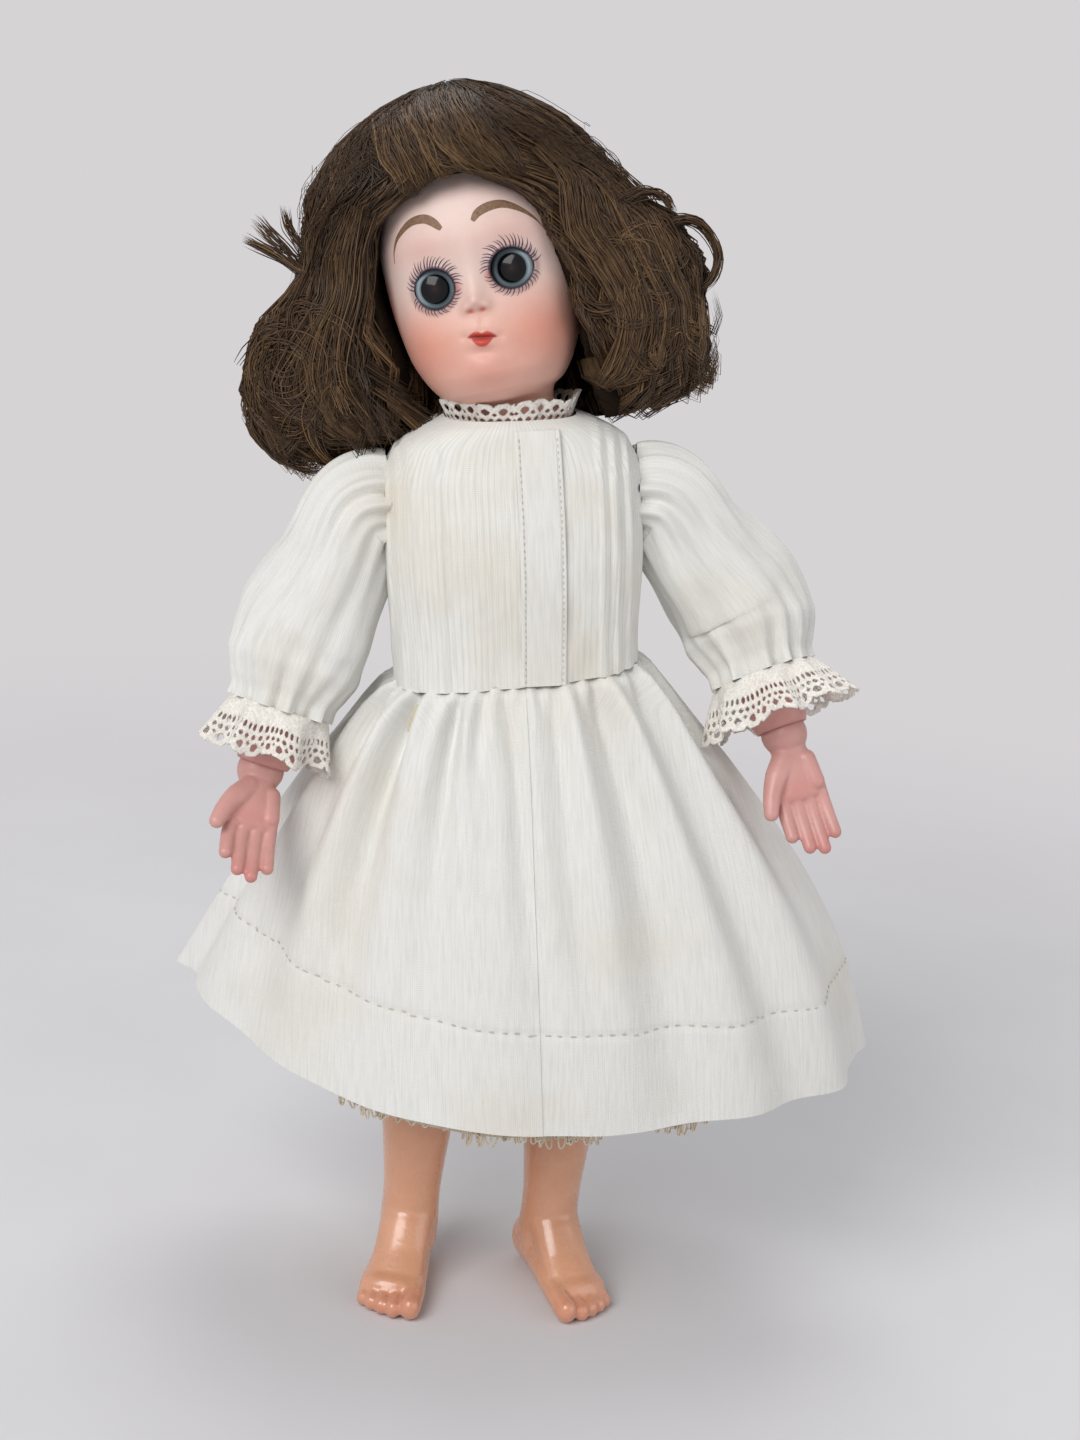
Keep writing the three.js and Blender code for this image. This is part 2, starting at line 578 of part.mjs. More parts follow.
const arms = {};
for (const [name, side] of [['left', 1], ['right', -1]]) {
  const pose = ARM_POSE[name];
  const shoulder = frame(torso, `shoulder_${name}`, [side * SHOULDER_X, 0, SHOULDER_Z], [pose.swing, 0, 0]);
  const upper = frame(shoulder, `upper_arm_frame_${name}`, [0, 0, 0], [0, -side * pose.raise, pose.turn], 'YXZ');
  const elbow = frame(upper, `elbow_${name}`, [0, 0, -UPPER_ARM_LENGTH], [-pose.flex, 0, 0]);
  const fore = frame(elbow, `forearm_frame_${name}`, [0, 0, 0]);
  const wrist = frame(fore, `wrist_${name}`, [0, 0, -FOREARM_LENGTH], [0, 0, pose.twist]);
  const hand = frame(wrist, `hand_frame_${name}`, [0, 0, 0], [-pose.bend, 0, 0]);
  arms[name] = { side, shoulder, upper, elbow, fore, wrist, hand };

  const inward = bar(SLOT_WIDTH / 2, [0, 0, 0], [-side * 12, 0, 0]);
  const lift = side > 0 ? [deg(75), deg(190)] : [deg(170), deg(285)];
  piece(shoulder, `shoulder_ball_${name}`,
    jointBall(SHOULDER_BALL, inward, slot('xz', ...lift, SHOULDER_BALL)), 'limbs');
  piece(upper, `upper_arm_${name}`, turned(limbOutline(
    UPPER_ARM_LENGTH, SHOULDER_BALL, deg(50), ELBOW_BALL, deg(46),
    [[0.19, UPPER_ARM_RADIUS], [0.45, UPPER_ARM_RADIUS + 0.2], [0.8, UPPER_ARM_RADIUS - 0.8]])), 'limbs');
  piece(upper, `upper_arm_elastic_${name}`, straightCord(-CORD_END, CORD_END - UPPER_ARM_LENGTH), 'elastic');
  const downBore = bar(SLOT_WIDTH / 2, [0, 0, 0], [0, 0, -12]);
  piece(elbow, `elbow_ball_${name}`,
    jointBall(ELBOW_BALL, downBore, slot('yz', deg(-110), deg(22), ELBOW_BALL)), 'limbs');
  piece(fore, `forearm_${name}`, turned(limbOutline(
    FOREARM_LENGTH, ELBOW_BALL, deg(46), WRIST_BALL, deg(74),
    [[0.22, FOREARM_RADIUS - 0.7], [0.45, FOREARM_RADIUS], [0.82, FOREARM_RADIUS - 0.3],
      [0.945, FOREARM_RADIUS - 0.5]])), 'hands');
  piece(fore, `forearm_elastic_${name}`,
    straightCord(-CORD_END, -FOREARM_LENGTH + hookRingZ + hookRing + hookWire + 0.4), 'elastic');
  piece(wrist, `hand_hook_${name}`, join(
    ring(hookRing, hookWire, hookRingZ),
    bar(hookWire, [0, 0, hookRingZ - hookRing], [0, 0, 0], 8),
    bar(hookWire, [-3.2, 0, 0], [3.2, 0, 0], 8)), 'steel');
  piece(hand, `hand_${name}`, handSolid(deg(pose.palm)), 'hands');
}

// Legs.
const SHIN_LENGTH = HIP_HEIGHT - THIGH_LENGTH;      // knee joint to the sole
const SHIN_BORE_END = 36;

/** A bare foot with its sole at z = 0 and the ankle axis at x = y = 0, toes towards -Y. */
function footSolid(side) {
  const body = wasm.Manifold.hull([
    egg(0, FOOT_BACK - 8.2, 6.6, 7.6, 8.2, 7.6, 8, 6),
    block(-5, 0, 0, 5, FOOT_BACK - 1.6, 3),
    egg(0, 0, ANKLE_HEIGHT - 6, ANKLE_RADIUS - 0.3, ANKLE_RADIUS - 0.3, 6, 10, 4),
    egg(0, -FOOT_FRONT + 12, 4.5, 9.4, 8, 6, 10, 6),
  ]);
  const toes = [4.1, 3.1, 3, 2.8, 2.6].map((radius, i) => {
    const x = side * (-6.6 + [0, 4.6, 8, 11.1, 13.8][i]);
    const y = -FOOT_FRONT + radius + [0, 0.2, 1.2, 2.6, 4.4][i];
    return egg(x, y, radius * 0.9, radius * 0.72, radius * 1.2, radius, 6, 3);
  });
  const turn = new THREE.Matrix4().makeRotationZ(side * deg(side > 0 ? FOOT_TURN.left : FOOT_TURN.right));
  const foot = join(body, ...toes).subtract(block(-40, -60, -20, 40, 60, 0));
  return moved(foot, turn);
}

const legs = {};
for (const [name, side] of [['left', 1], ['right', -1]]) {
  const hip = frame(doll, `hip_${name}`, [side * HIP_X, 0, HIP_HEIGHT]);
  const upper = frame(hip, `thigh_frame_${name}`, [0, 0, 0]);
  const knee = frame(upper, `knee_${name}`, [0, 0, -THIGH_LENGTH]);
  const lower = frame(knee, `shin_frame_${name}`, [0, 0, 0]);
  legs[name] = { side, hip, upper, knee, lower };

  const spread = side > 0 ? [deg(135), deg(195)] : [deg(165), deg(225)];
  piece(hip, `hip_ball_${name}`, jointBall(HIP_BALL,
    slot('yz', deg(-110), deg(35), HIP_BALL, SLOT_WIDTH + 0.8),
    slot('xz', ...spread, HIP_BALL)), 'limbs');
  piece(upper, `thigh_${name}`, turned(limbOutline(
    THIGH_LENGTH, HIP_BALL, deg(52), KNEE_BALL, deg(46),
    [[0.185, THIGH_RADIUS], [0.4, THIGH_RADIUS], [0.7, THIGH_RADIUS - 1.4], [0.86, THIGH_RADIUS - 3]]), 18), 'limbs');
  piece(upper, `thigh_elastic_${name}`, straightCord(-CORD_END, CORD_END - THIGH_LENGTH), 'elastic');
  const downBore = bar(SLOT_WIDTH / 2, [0, 0, 0], [0, 0, -12]);
  piece(knee, `knee_ball_${name}`,
    jointBall(KNEE_BALL, downBore, slot('yz', deg(-22), deg(112), KNEE_BALL)), 'limbs');
  const calf = toSolid(turned([
    ...limbOutline(SHIN_LENGTH, KNEE_BALL, deg(46), 1, 1, []).slice(0, 3),
    [CALF_RADIUS - 1.3, -9.5],
    [CALF_RADIUS, -20],
    [CALF_RADIUS, -32],
    [ANKLE_RADIUS + 0.6, -46],
    [ANKLE_RADIUS, ANKLE_HEIGHT - SHIN_LENGTH],
    [ANKLE_RADIUS, ANKLE_HEIGHT - 12 - SHIN_LENGTH],
    [0, ANKLE_HEIGHT - 12 - SHIN_LENGTH],
    [0, -SHIN_BORE_END],
    [BORE_RADIUS, -SHIN_BORE_END],
  ], 14));
  const foot = moved(footSolid(side), new THREE.Matrix4().makeTranslation(0, 0, -SHIN_LENGTH));
  piece(lower, `lower_leg_${name}`, join(calf, foot), 'limbs');
  const ringZ = -SHIN_BORE_END + 6.5;
  piece(lower, `shin_elastic_${name}`, straightCord(-CORD_END, ringZ + hookRing + hookWire + 0.4), 'elastic');
  piece(lower, `leg_hook_${name}`, join(
    ring(hookRing, hookWire, ringZ),
    bar(hookWire, [0, 0, ringZ - hookRing], [0, 0, 1.1 - SHIN_BORE_END], 8),
    bar(hookWire, [-2.7, 0, 1.1 - SHIN_BORE_END], [2.7, 0, 1.1 - SHIN_BORE_END], 8)), 'steel');
}

// Bodice.
/** A slab that keeps what lies above the tilted waist seam, raised by a gap. */
function aboveWaist(gap) {
  const slab = new THREE.BoxGeometry(160, 160, 90).translate(0, 0, 45 + gap);
  return toSolid(slab.rotateY(-WAIST_TILT).translate(0, 0, WAIST_Z));
}

const DRESS = TORSO.slice(DRESS_ROW);
const dressOuter = bodyThrough(DRESS, BODICE_EASE, BODICE_POWER, 20);
const dressRoom = bodyThrough(DRESS, BODICE_EASE + 0.5, BODICE_POWER, 20);
const armholes = [-1, 1].map((side) => ball(ARMHOLE_RADIUS, side * SHOULDER_X, 0, SHOULDER_Z, 16, 10));
const topTrim = block(-60, -60, NECK_Z - 0.6, 60, 60, NECK_Z + 20);
const dressInner = bodyThrough(DRESS, BODICE_EASE - CLOTH, BODICE_POWER, 20);
piece(torso, 'bodice',
  cutFrom(dressOuter.intersect(aboveWaist(0)), dressInner, topTrim, ...armholes), 'cotton');

/** How far in front of the hip line the bodice stands at a place on its front. */
function bodiceFront(x, z) {
  const [width, front] = readStations(TORSO, z);
  const share = abs(x) / (width + BODICE_EASE);
  return (front + BODICE_EASE) * (1 - share ** BODICE_POWER) ** (1 / BODICE_POWER);
}

const placketSkin = (lift) => (u, v) => {
  const x = PLACKET_X + (u - 0.5) * PLACKET_WIDTH;
  const z = WAIST_Z + 1.5 + v * (NECK_Z - 3 - WAIST_Z);
  return new THREE.Vector3(x, -bodiceFront(x, z) - lift, z);
};
const placket = toSolid(cloth(placketSkin(SEAT + 0.8), placketSkin(-0.2), 2, 10, false));
piece(torso, 'placket', cutFrom(placket, bodyThrough(DRESS, BODICE_EASE + 0.25, BODICE_POWER, 20)), 'cotton');

for (const [name, z] of [['upper', 80], ['lower', 58]]) {
  const back = readStations(TORSO, z)[2] + BODICE_EASE;
  piece(torso, `button_${name}`,
    cutFrom(bar(2.6, [0, back - 1, z], [0, back + 1.9, z], 16), dressRoom), 'button');
}

// Stand-up lace collar, trimmed clear of the chin.
const collar = turned([
  [15.2, SEAT], [16.2, SEAT], [17.6, 3.6], [18.3, 6.2], [17.5, 6.4], [16.6, 3.6],
], 16);
const headRoom = moved(bodyThrough(HEAD, 0.6, HEAD_POWER), between(head, neck));
piece(torso, 'collar_lace',
  moved(toSolid(collar), new THREE.Matrix4().makeTranslation(0, 0, NECK_Z))
    .subtract(moved(headRoom, between(neck, torso))), 'lace');

// Sleeves.
/** Rings of a sleeve in the torso's frame, from the armhole past the elbow to the cuff. */
function sleevePath(arm) {
  const toTorso = between(arm.upper, torso);
  const foreToTorso = between(arm.fore, torso);
  const at = (matrix, z) => new THREE.Vector3(0, 0, z).applyMatrix4(matrix);
  return new THREE.CatmullRomCurve3([
    new THREE.Vector3(arm.side * (SHOULDER_X - 8), 0, SHOULDER_Z + 1),
    new THREE.Vector3(arm.side * (SHOULDER_X + 1), 0, SHOULDER_Z - 1),
    at(toTorso, -UPPER_ARM_LENGTH * 0.45),
    at(toTorso, -UPPER_ARM_LENGTH * 0.98),
    at(foreToTorso, -CUFF_DISTANCE),
    at(foreToTorso, -CUFF_DISTANCE - RUFFLE_LENGTH),
  ], false, 'centripetal');
}

const SLEEVE = [
  [0, 14.5],
  [0.1, 17],
  [0.25, 17.2],
  [0.45, 17.4],
  [0.65, 18.6],
  [0.8, 17.5],
  [0.9, 15],
  [1, CUFF_RADIUS],
];

/** A tube of cloth about a path, gathered into soft folds at both ends. */
function tubeSkin(path, fromShare, toShare, radiusAt, folds, depthAt, lift) {
  return (u, v) => {
    const share = fromShare + (toShare - fromShare) * v;
    const centre = path.getPointAt(share);
    const along = path.getTangentAt(share);
    const across = new THREE.Vector3(0, 1, 0).addScaledVector(along, -along.y).normalize();
    const other = new THREE.Vector3().crossVectors(along, across);
    const angle = 2 * PI * u;
    const radius = radiusAt(v) + depthAt(v) * cos(folds * angle) + lift;
    return centre.addScaledVector(across, radius * cos(angle)).addScaledVector(other, radius * sin(angle));
  };
}

for (const [name, arm] of Object.entries(arms)) {
  const path = sleevePath(arm);
  const cuffShare = 1 - RUFFLE_LENGTH / path.getLength();
  const radius = (v) => readStations(SLEEVE, v)[0];
  const depth = (v) => 0.9 * abs(2 * v - 1) ** 3;
  const skin = (lift) => tubeSkin(path, 0.02, cuffShare, radius, 7, depth, lift);
  const sleeve = toSolid(cloth(skin(0), skin(-CLOTH), 21, 7, true));
  arm.sleeveRoom = toSolid(stack(Array.from({ length: 6 }, (_, j) =>
    Array.from({ length: 14 }, (__, i) => tubeSkin(path, 0.02, cuffShare, radius, 7, depth, 1.6)(i / 14, j / 5)))));
  const limbs = bar(ARMHOLE_RADIUS - 2.5, [arm.side * 20, 0, SHOULDER_Z], [arm.side * 34, 0, SHOULDER_Z]);
  const trimmed = mainBody(cutFrom(sleeve, dressRoom, limbs));
  piece(arm.upper, `sleeve_${name}`, moved(trimmed, between(torso, arm.upper)), 'cotton');
  const ruffleRadius = (v) => CUFF_RADIUS + RUFFLE_FLARE[name] * v ** 0.8;
  const ruffleDepth = (v) => 1.6 * v;
  const ruffle = (lift) => tubeSkin(path, cuffShare + 0.006, 0.999, ruffleRadius, 9, ruffleDepth, lift);
  const lace = toSolid(cloth(ruffle(0), ruffle(-0.8), 27, 2, true));
  piece(arm.fore, `cuff_lace_${name}`, moved(lace, between(torso, arm.fore)), 'lace');
}

// Skirt and petticoat.
/** The waist seam as a place on the body, standing off the torso, in world coordinates. */
function waistPoint(angle, drop, grow) {
  const [width, front, back] = readStations(TORSO, WAIST_Z - drop);
  const [s, c] = [sin(angle), cos(angle)];
  const depth = (c > 0 ? front : back) + grow;
  const reach = (abs(s) ** BODICE_POWER + abs(c) ** BODICE_POWER) ** (-1 / BODICE_POWER);
  const x = (width + grow) * s * reach;
  const point = new THREE.Vector3(x, -depth * c * reach, WAIST_Z - drop + x * Math.tan(WAIST_TILT));
  return point.applyMatrix4(torso.matrixWorld);
}

/** The hem's outline: flatter behind, fuller towards the doll's left and raised at both sides. */
function hemPoint(angle, share, height, rise) {
  const [s, c] = [sin(angle), cos(angle)];
  const x = HEM_SHIFT + HEM_HALF_WIDTH * s;
  const y = -6 - HEM_HALF_DEPTH * c + (16 - 12 * s) * s * s;
  return new THREE.Vector3(x * share, y * share, height + rise * s * s * (1 - 0.35 * s));
}

// Each row is a crease: its angle at the waist and at the hem, its depth at the waist, on the way and at
// the hem, and its half-width, in radians and millimetres.
const CREASES = [
  [-1.25, -1.02, 2.6, 3.2, 1.6, 0.11],
  [-0.86, -0.66, 3.0, 2.6, 0.8, 0.09],
  [-0.52, -0.30, 2.2, 1.2, 0.3, 0.09],
  [0.50, 0.46, 2.6, 4.6, 1.8, 0.10],
  [0.86, 0.84, 2.4, 2.4, 2.8, 0.10],
  [1.28, 1.30, 2.4, 2.2, 2.4, 0.12],
  [-1.62, -1.50, 2.2, 2.4, 2.4, 0.13],
];

/** How far the creases draw the cloth in at an angle round the skirt and a share of its fall. */
function creaseDepth(angle, v) {
  let depth = 0;
  for (const [atWaist, atHem, top, middle, bottom, halfWidth] of CREASES) {
    const at = atWaist + (atHem - atWaist) * v ** 0.8;
    const deep = (top * (1 - v) ** 2 + 2.8 * middle * v * (1 - v) + bottom * v * v) * min(1, 10 * v);
    const off = (angle - at) / (halfWidth * (1 + 0.55 * v));
    depth += deep * (Math.exp(-off * off) - 0.55 * Math.exp(-(((off - 1.7) / 0.9) ** 2))
      - 0.4 * Math.exp(-(((off + 1.8) / 1.1) ** 2)));
  }
  return depth;
}

/** One half of a gathered skirt, from the front middle to the back middle. */
function skirtHalf(side, top, hem, depth, thickness, counts) {
  const gap = 0.004;
  const skin = (lift) => (u, v) => {
    const angle = side * (gap + (PI - 2 * gap) * u ** 1.2);
    const [s, c] = [sin(angle), cos(angle)];
    const start = waistPoint(angle, top.drop, top.grow + lift);
    const end = hemPoint(angle, hem.share, hem.height, hem.rise);
    const outward = new THREE.Vector3(s, -c * 1.4, 0).normalize();
    const swell = (SKIRT_SWELL * (1 - 0.5 * s * s) * sin(PI * v ** 0.8)
      + SKIRT_SIDE_SWELL * Math.max(s, 0) ** 2 * sin(PI * v ** 1.4)) * hem.share;
    const behind = min(1, Math.max(0, (0.25 - c) * 2));
    const waves = behind * (1.2 + 2.4 * v ** 0.6) * min(1, 4 * v)
      * (cos(PLEATS * angle + 0.8 * sin(2 * angle)) + 1 - 0.6 * v);
    return start.lerp(end, v).addScaledVector(outward,
      swell + depth * (waves - creaseDepth(angle, v)) + lift * min(1, 4 * v));
  };
  const half = cloth(skin(0), skin(-thickness), counts[0], counts[1], false);
  return half.applyMatrix4(torso.matrixWorld.clone().invert());
}

doll.updateMatrixWorld(true);
for (const [name, side] of [['left', 1], ['right', -1]]) {
  piece(torso, `skirt_${name}`, skirtHalf(side, { drop: 0.7, grow: BODICE_EASE + 0.6 },
    { share: 1, height: HEM_HEIGHT, rise: HEM_RISE }, 1, 1, [40, 6]), 'cotton');
  piece(torso, `petticoat_${name}`, skirtHalf(side, { drop: 2.6, grow: BODICE_EASE - 0.4 },
    { share: 0.76, height: PETTICOAT_HEM, rise: PETTICOAT_RISE }, 0.45, 0.8, [14, 3]), 'petticoat');
}

// Wig.
// Rows are height above the neck joint, half-width, depth in front and depth behind.
const WIG = [
  [-1, 42, 2, 26],
  [7, 54, 12, 31],
  [18, 61, 17, 34],
  [30, 62, 18, 35],
  [42, 53, 19, 35.5],
  [54, 46, 25, 35],
  [66, 39, 27, 32],
  [75, 31, 23, 25],
  [82, 20, 15, 16],
  [86, 7, 6, 6],
];
const HAIR_THICKNESS = 13;    // of the curls that hang at each side
const HAIR_DEPTH = 9;         // of the curls in front of the neck

function wig() {
  const outer = bodyThrough(WIG, 0, 2.3, 20);
  const faceWindow = toSolid(new THREE.CylinderGeometry(1, 1, 60, 18)
    .scale(25.6, 1, 23.4).translate(0, -30, EYE_Z));
  const ears = [-1, 1].map((side) => egg(side * 23.4, 3, 30, 3.2, 5.6, 7.8, 8, 6));
  const chinRoom = block(-25, -60, -30, 25, 8, 24);
  const [low, ...hanging] = WIG.slice(0, 4).map(([z, width, front, back]) =>
    [z, width - HAIR_THICKNESS, Math.max(front - HAIR_DEPTH, 1), back - HAIR_DEPTH]);
  const [, width, front, back] = hanging[2];
  const neckRoom = bodyThrough([
    [low[0] - 9, ...low.slice(1)], low, ...hanging,
    [HAIR_SPLIT_Z - 9, width * 0.6, front * 0.5, back * 0.8]], 0, 2.3);
  return cutFrom(outer, neckRoom, bodyThrough(HEAD, 0.75, HEAD_POWER), faceWindow, chinRoom, ...ears);
}

const WIG_TIDY = 0.3;
const fullWig = wig();
const crown = fullWig.intersect(block(-90, -90, HAIR_SPLIT_Z + 0.2, 90, 90, 140));
piece(head, 'wig_crown', mainBody(crown, WIG_TIDY), 'hair');
const torsoToHead = between(torso, head);
const shoulderRoom = [
  moved(bodyThrough(DRESS, BODICE_EASE + 2, BODICE_POWER, 16), torsoToHead),
  ...Object.values(arms).map((arm) => moved(arm.sleeveRoom, torsoToHead)),
  moved(bar(19.6, [0, 0, NECK_Z - 6], [0, 0, NECK_Z + 7.5], 28), torsoToHead),
];
const curls = fullWig.intersect(block(-90, -90, -30, 90, 90, HAIR_SPLIT_Z - 0.2));
piece(head, 'wig_curls', mainBody(cutFrom(curls, ...shoulderRoom), WIG_TIDY), 'hair');

// Place the whole doll over the origin, soles on z = 0.
doll.updateMatrixWorld(true);
const bounds = new THREE.Box3().setFromObject(doll, true);
const middle = bounds.getCenter(new THREE.Vector3());
doll.position.set(-middle.x, -middle.y, -bounds.min.z);

export default doll;
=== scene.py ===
"""A small bisque socket-head doll on a jointed composition body, in a white cotton dress.

Lengths in the sections are millimetres and become metres where a mesh is made.
"""
import json
import math
import bpy
import numpy as np
from mathutils import Matrix


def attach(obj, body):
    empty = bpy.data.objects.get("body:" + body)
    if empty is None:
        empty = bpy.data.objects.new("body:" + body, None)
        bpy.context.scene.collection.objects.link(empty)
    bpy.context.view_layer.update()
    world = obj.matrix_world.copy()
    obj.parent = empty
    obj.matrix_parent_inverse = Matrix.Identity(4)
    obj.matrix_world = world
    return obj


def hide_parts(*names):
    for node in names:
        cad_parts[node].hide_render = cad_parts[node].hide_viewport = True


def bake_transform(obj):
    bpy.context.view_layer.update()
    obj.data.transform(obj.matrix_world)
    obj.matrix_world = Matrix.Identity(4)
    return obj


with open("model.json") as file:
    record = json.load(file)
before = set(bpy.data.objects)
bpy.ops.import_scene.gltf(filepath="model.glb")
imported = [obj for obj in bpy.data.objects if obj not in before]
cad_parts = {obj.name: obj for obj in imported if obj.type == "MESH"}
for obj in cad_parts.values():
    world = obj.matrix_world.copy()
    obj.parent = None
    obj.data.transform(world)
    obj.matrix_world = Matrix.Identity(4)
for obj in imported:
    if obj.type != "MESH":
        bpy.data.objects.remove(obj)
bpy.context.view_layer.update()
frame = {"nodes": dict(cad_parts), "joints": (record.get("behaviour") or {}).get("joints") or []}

# Camera: held a little above the doll's head and to its right, turned down
# and rolled the way the photograph was taken.
CAMERA_PLACE = np.array([-74.34, -510.04, 300.3])
CAMERA_PAN, CAMERA_DIP, CAMERA_ROLL = -7.7, -14.7, -5.5
camera_data = bpy.data.cameras.new("camera")
camera_data.lens = 50
camera_data.sensor_width = 36
camera_data.clip_start = 0.01
camera = bpy.data.objects.new("camera", camera_data)
bpy.context.scene.collection.objects.link(camera)
bpy.context.scene.camera = camera


def turn(axis, degrees):
    """Rotation matrix about X, Y or Z by an angle."""
    c, s = math.cos(math.radians(degrees)), math.sin(math.radians(degrees))
    i, j = {"x": (1, 2), "y": (2, 0), "z": (0, 1)}[axis]
    m = np.eye(3)
    m[i, i], m[i, j], m[j, i], m[j, j] = c, -s, s, c
    return m


def placed_matrix(first, second, third, origin):
    """Matrix whose columns are three directions and an origin."""
    m = np.eye(4)
    m[:3, 0], m[:3, 1], m[:3, 2], m[:3, 3] = first, second, third, origin
    return m


view = turn("z", CAMERA_PAN) @ turn("x", CAMERA_DIP) @ turn("y", CAMERA_ROLL)
view_matrix = placed_matrix(view[:, 0], view[:, 2], -view[:, 1], CAMERA_PLACE / 1000)
camera.matrix_world = Matrix(view_matrix.tolist())

# Light, floor and background: a broad soft lamp from the front left, a weak one
# from the right and one overhead, a pale table top, and a backdrop of one colour.
LAMPS = {  # place, height aimed at, width and power, in metres and watts
    "key_lamp": ((-0.75, -0.95, 1.05), 0.15, 0.9, 15.5),
    "fill_lamp": ((1.1, -0.7, 0.5), 0.15, 1.0, 3.2),
    "top_lamp": ((0.1, 0.5, 1.3), 0.2, 0.8, 5.0),
}


def unit(vectors, least=0.0):
    """Vectors at length 1. Where a length may be 0, the least, added to it, keeps the result finite."""
    return vectors / (np.linalg.norm(vectors, axis=-1, keepdims=True) + least)


for name, (place, aim_height, size, power) in LAMPS.items():
    lamp_data = bpy.data.lights.new(name, "AREA")
    lamp_data.size = size
    lamp_data.energy = power
    lamp = bpy.data.objects.new(name, lamp_data)
    bpy.context.scene.collection.objects.link(lamp)
    back = unit(np.array(place) - np.array([0, 0, aim_height]))
    side = unit(np.cross([0, 0, 1], back))
    lamp.matrix_world = Matrix(placed_matrix(side, np.cross(back, side), back, place).tolist())

bpy.context.scene.view_settings.view_transform = "Standard"


def ink(red, green, blue):
    """An sRGB colour of 0 to 255 as Blender's linear RGBA."""
    c = np.array([red, green, blue]) / 255
    c = np.where(c <= 0.04045, c / 12.92, ((c + 0.055) / 1.055) ** 2.4)
    return (float(c[0]), float(c[1]), float(c[2]), 1.0)


class Nodes:
    """The nodes and links of a material or of the background."""

    def __init__(self, owner):
        owner.use_nodes = True
        self.nodes = owner.node_tree.nodes
        self.links = owner.node_tree.links

    def node(self, kind, **values):
        made = self.nodes.new(kind)
        for key, value in values.items():
            if hasattr(made, key):
                setattr(made, key, value)
            else:
                made.inputs[key.replace("_", " ")].default_value = value
        return made

    def link(self, out, into):
        self.links.new(out, into)

    def math(self, operation, a, b=None):
        made = self.node("ShaderNodeMath", operation=operation)
        for socket, value in zip(made.inputs, (a, b)):
            if isinstance(value, (int, float)):
                socket.default_value = value
            elif value is not None:
                self.link(value, socket)
        return made.outputs[0]

    def mix(self, share, a, b, blend="MIX"):
        made = self.node("ShaderNodeMix", data_type="RGBA", blend_type=blend)
        for socket, value in zip((made.inputs[0], made.inputs[6], made.inputs[7]), (share, a, b)):
            if isinstance(value, (int, float, tuple)):
                socket.default_value = value
            else:
                self.link(value, socket)
        return made.outputs[2]

    def seen_directly(self):
        """1 for rays from the camera, a reflection or a glass, 0 for rays that carry light to the doll."""
        rays = self.node("ShaderNodeLightPath").outputs
        seen = self.math("MAXIMUM", rays["Is Camera Ray"], rays["Is Glossy Ray"])
        return self.math("MAXIMUM", seen, rays["Is Transmission Ray"])


class Finish(Nodes):
    """A material under construction, with its shader."""

    def __init__(self, name, roughness=0.6, **sockets):
        self.material = bpy.data.materials.new(name)
        super().__init__(self.material)
        self.shader = self.nodes["Principled BSDF"]
        self.shader.inputs["Roughness"].default_value = roughness
        for socket, value in sockets.items():
            self.shader.inputs[socket.replace("_", " ")].default_value = value

    def place(self):
        return self.node("ShaderNodeTexCoord").outputs["Object"]

    def attribute(self, name, output="Fac"):
        return self.node("ShaderNodeAttribute", attribute_name=name).outputs[output]

    def noise(self, scale, detail=3.0, vector=None, roughness=0.5):
        made = self.node("ShaderNodeTexNoise", Scale=scale, Detail=detail, Roughness=roughness)
        self.link(vector or self.place(), made.inputs["Vector"])
        return made.outputs["Fac"]

    def ramp(self, value, stops):
        made = self.node("ShaderNodeValToRGB")
        while len(made.color_ramp.elements) < len(stops):
            made.color_ramp.elements.new(0.5)
        for element, (position, colour) in zip(made.color_ramp.elements, stops):
            element.position, element.color = position, colour
        self.link(value, made.inputs["Fac"])
        return made.outputs["Color"]

    def patches(self, scale, detail, dark, light, low=0.3, high=0.7):
        """Two close tones in soft patches."""
        return self.ramp(self.noise(scale, detail), [(low, ink(*dark)), (high, ink(*light))])

    def fade(self, value, start, end, first=0.0, last=1.0, kind="LINEAR"):
        """A value from start to end, taken to first to last."""
        made = self.node("ShaderNodeMapRange", interpolation_type=kind)
        for socket, limit in zip(made.inputs[1:5], (start, end, first, last)):
            socket.default_value = limit
        self.link(value, made.inputs[0])
        return made.outputs[0]

    def colour(self, out):
        self.link(out, self.shader.inputs["Base Color"])
        return self

    def rough(self, out):
        self.link(out, self.shader.inputs["Roughness"])
        return self

    def bump(self, out, distance, strength=1.0):
        made = self.node("ShaderNodeBump", Distance=distance, Strength=strength)
        self.link(out, made.inputs["Height"])
        self.link(made.outputs["Normal"], self.shader.inputs["Normal"])
        return self


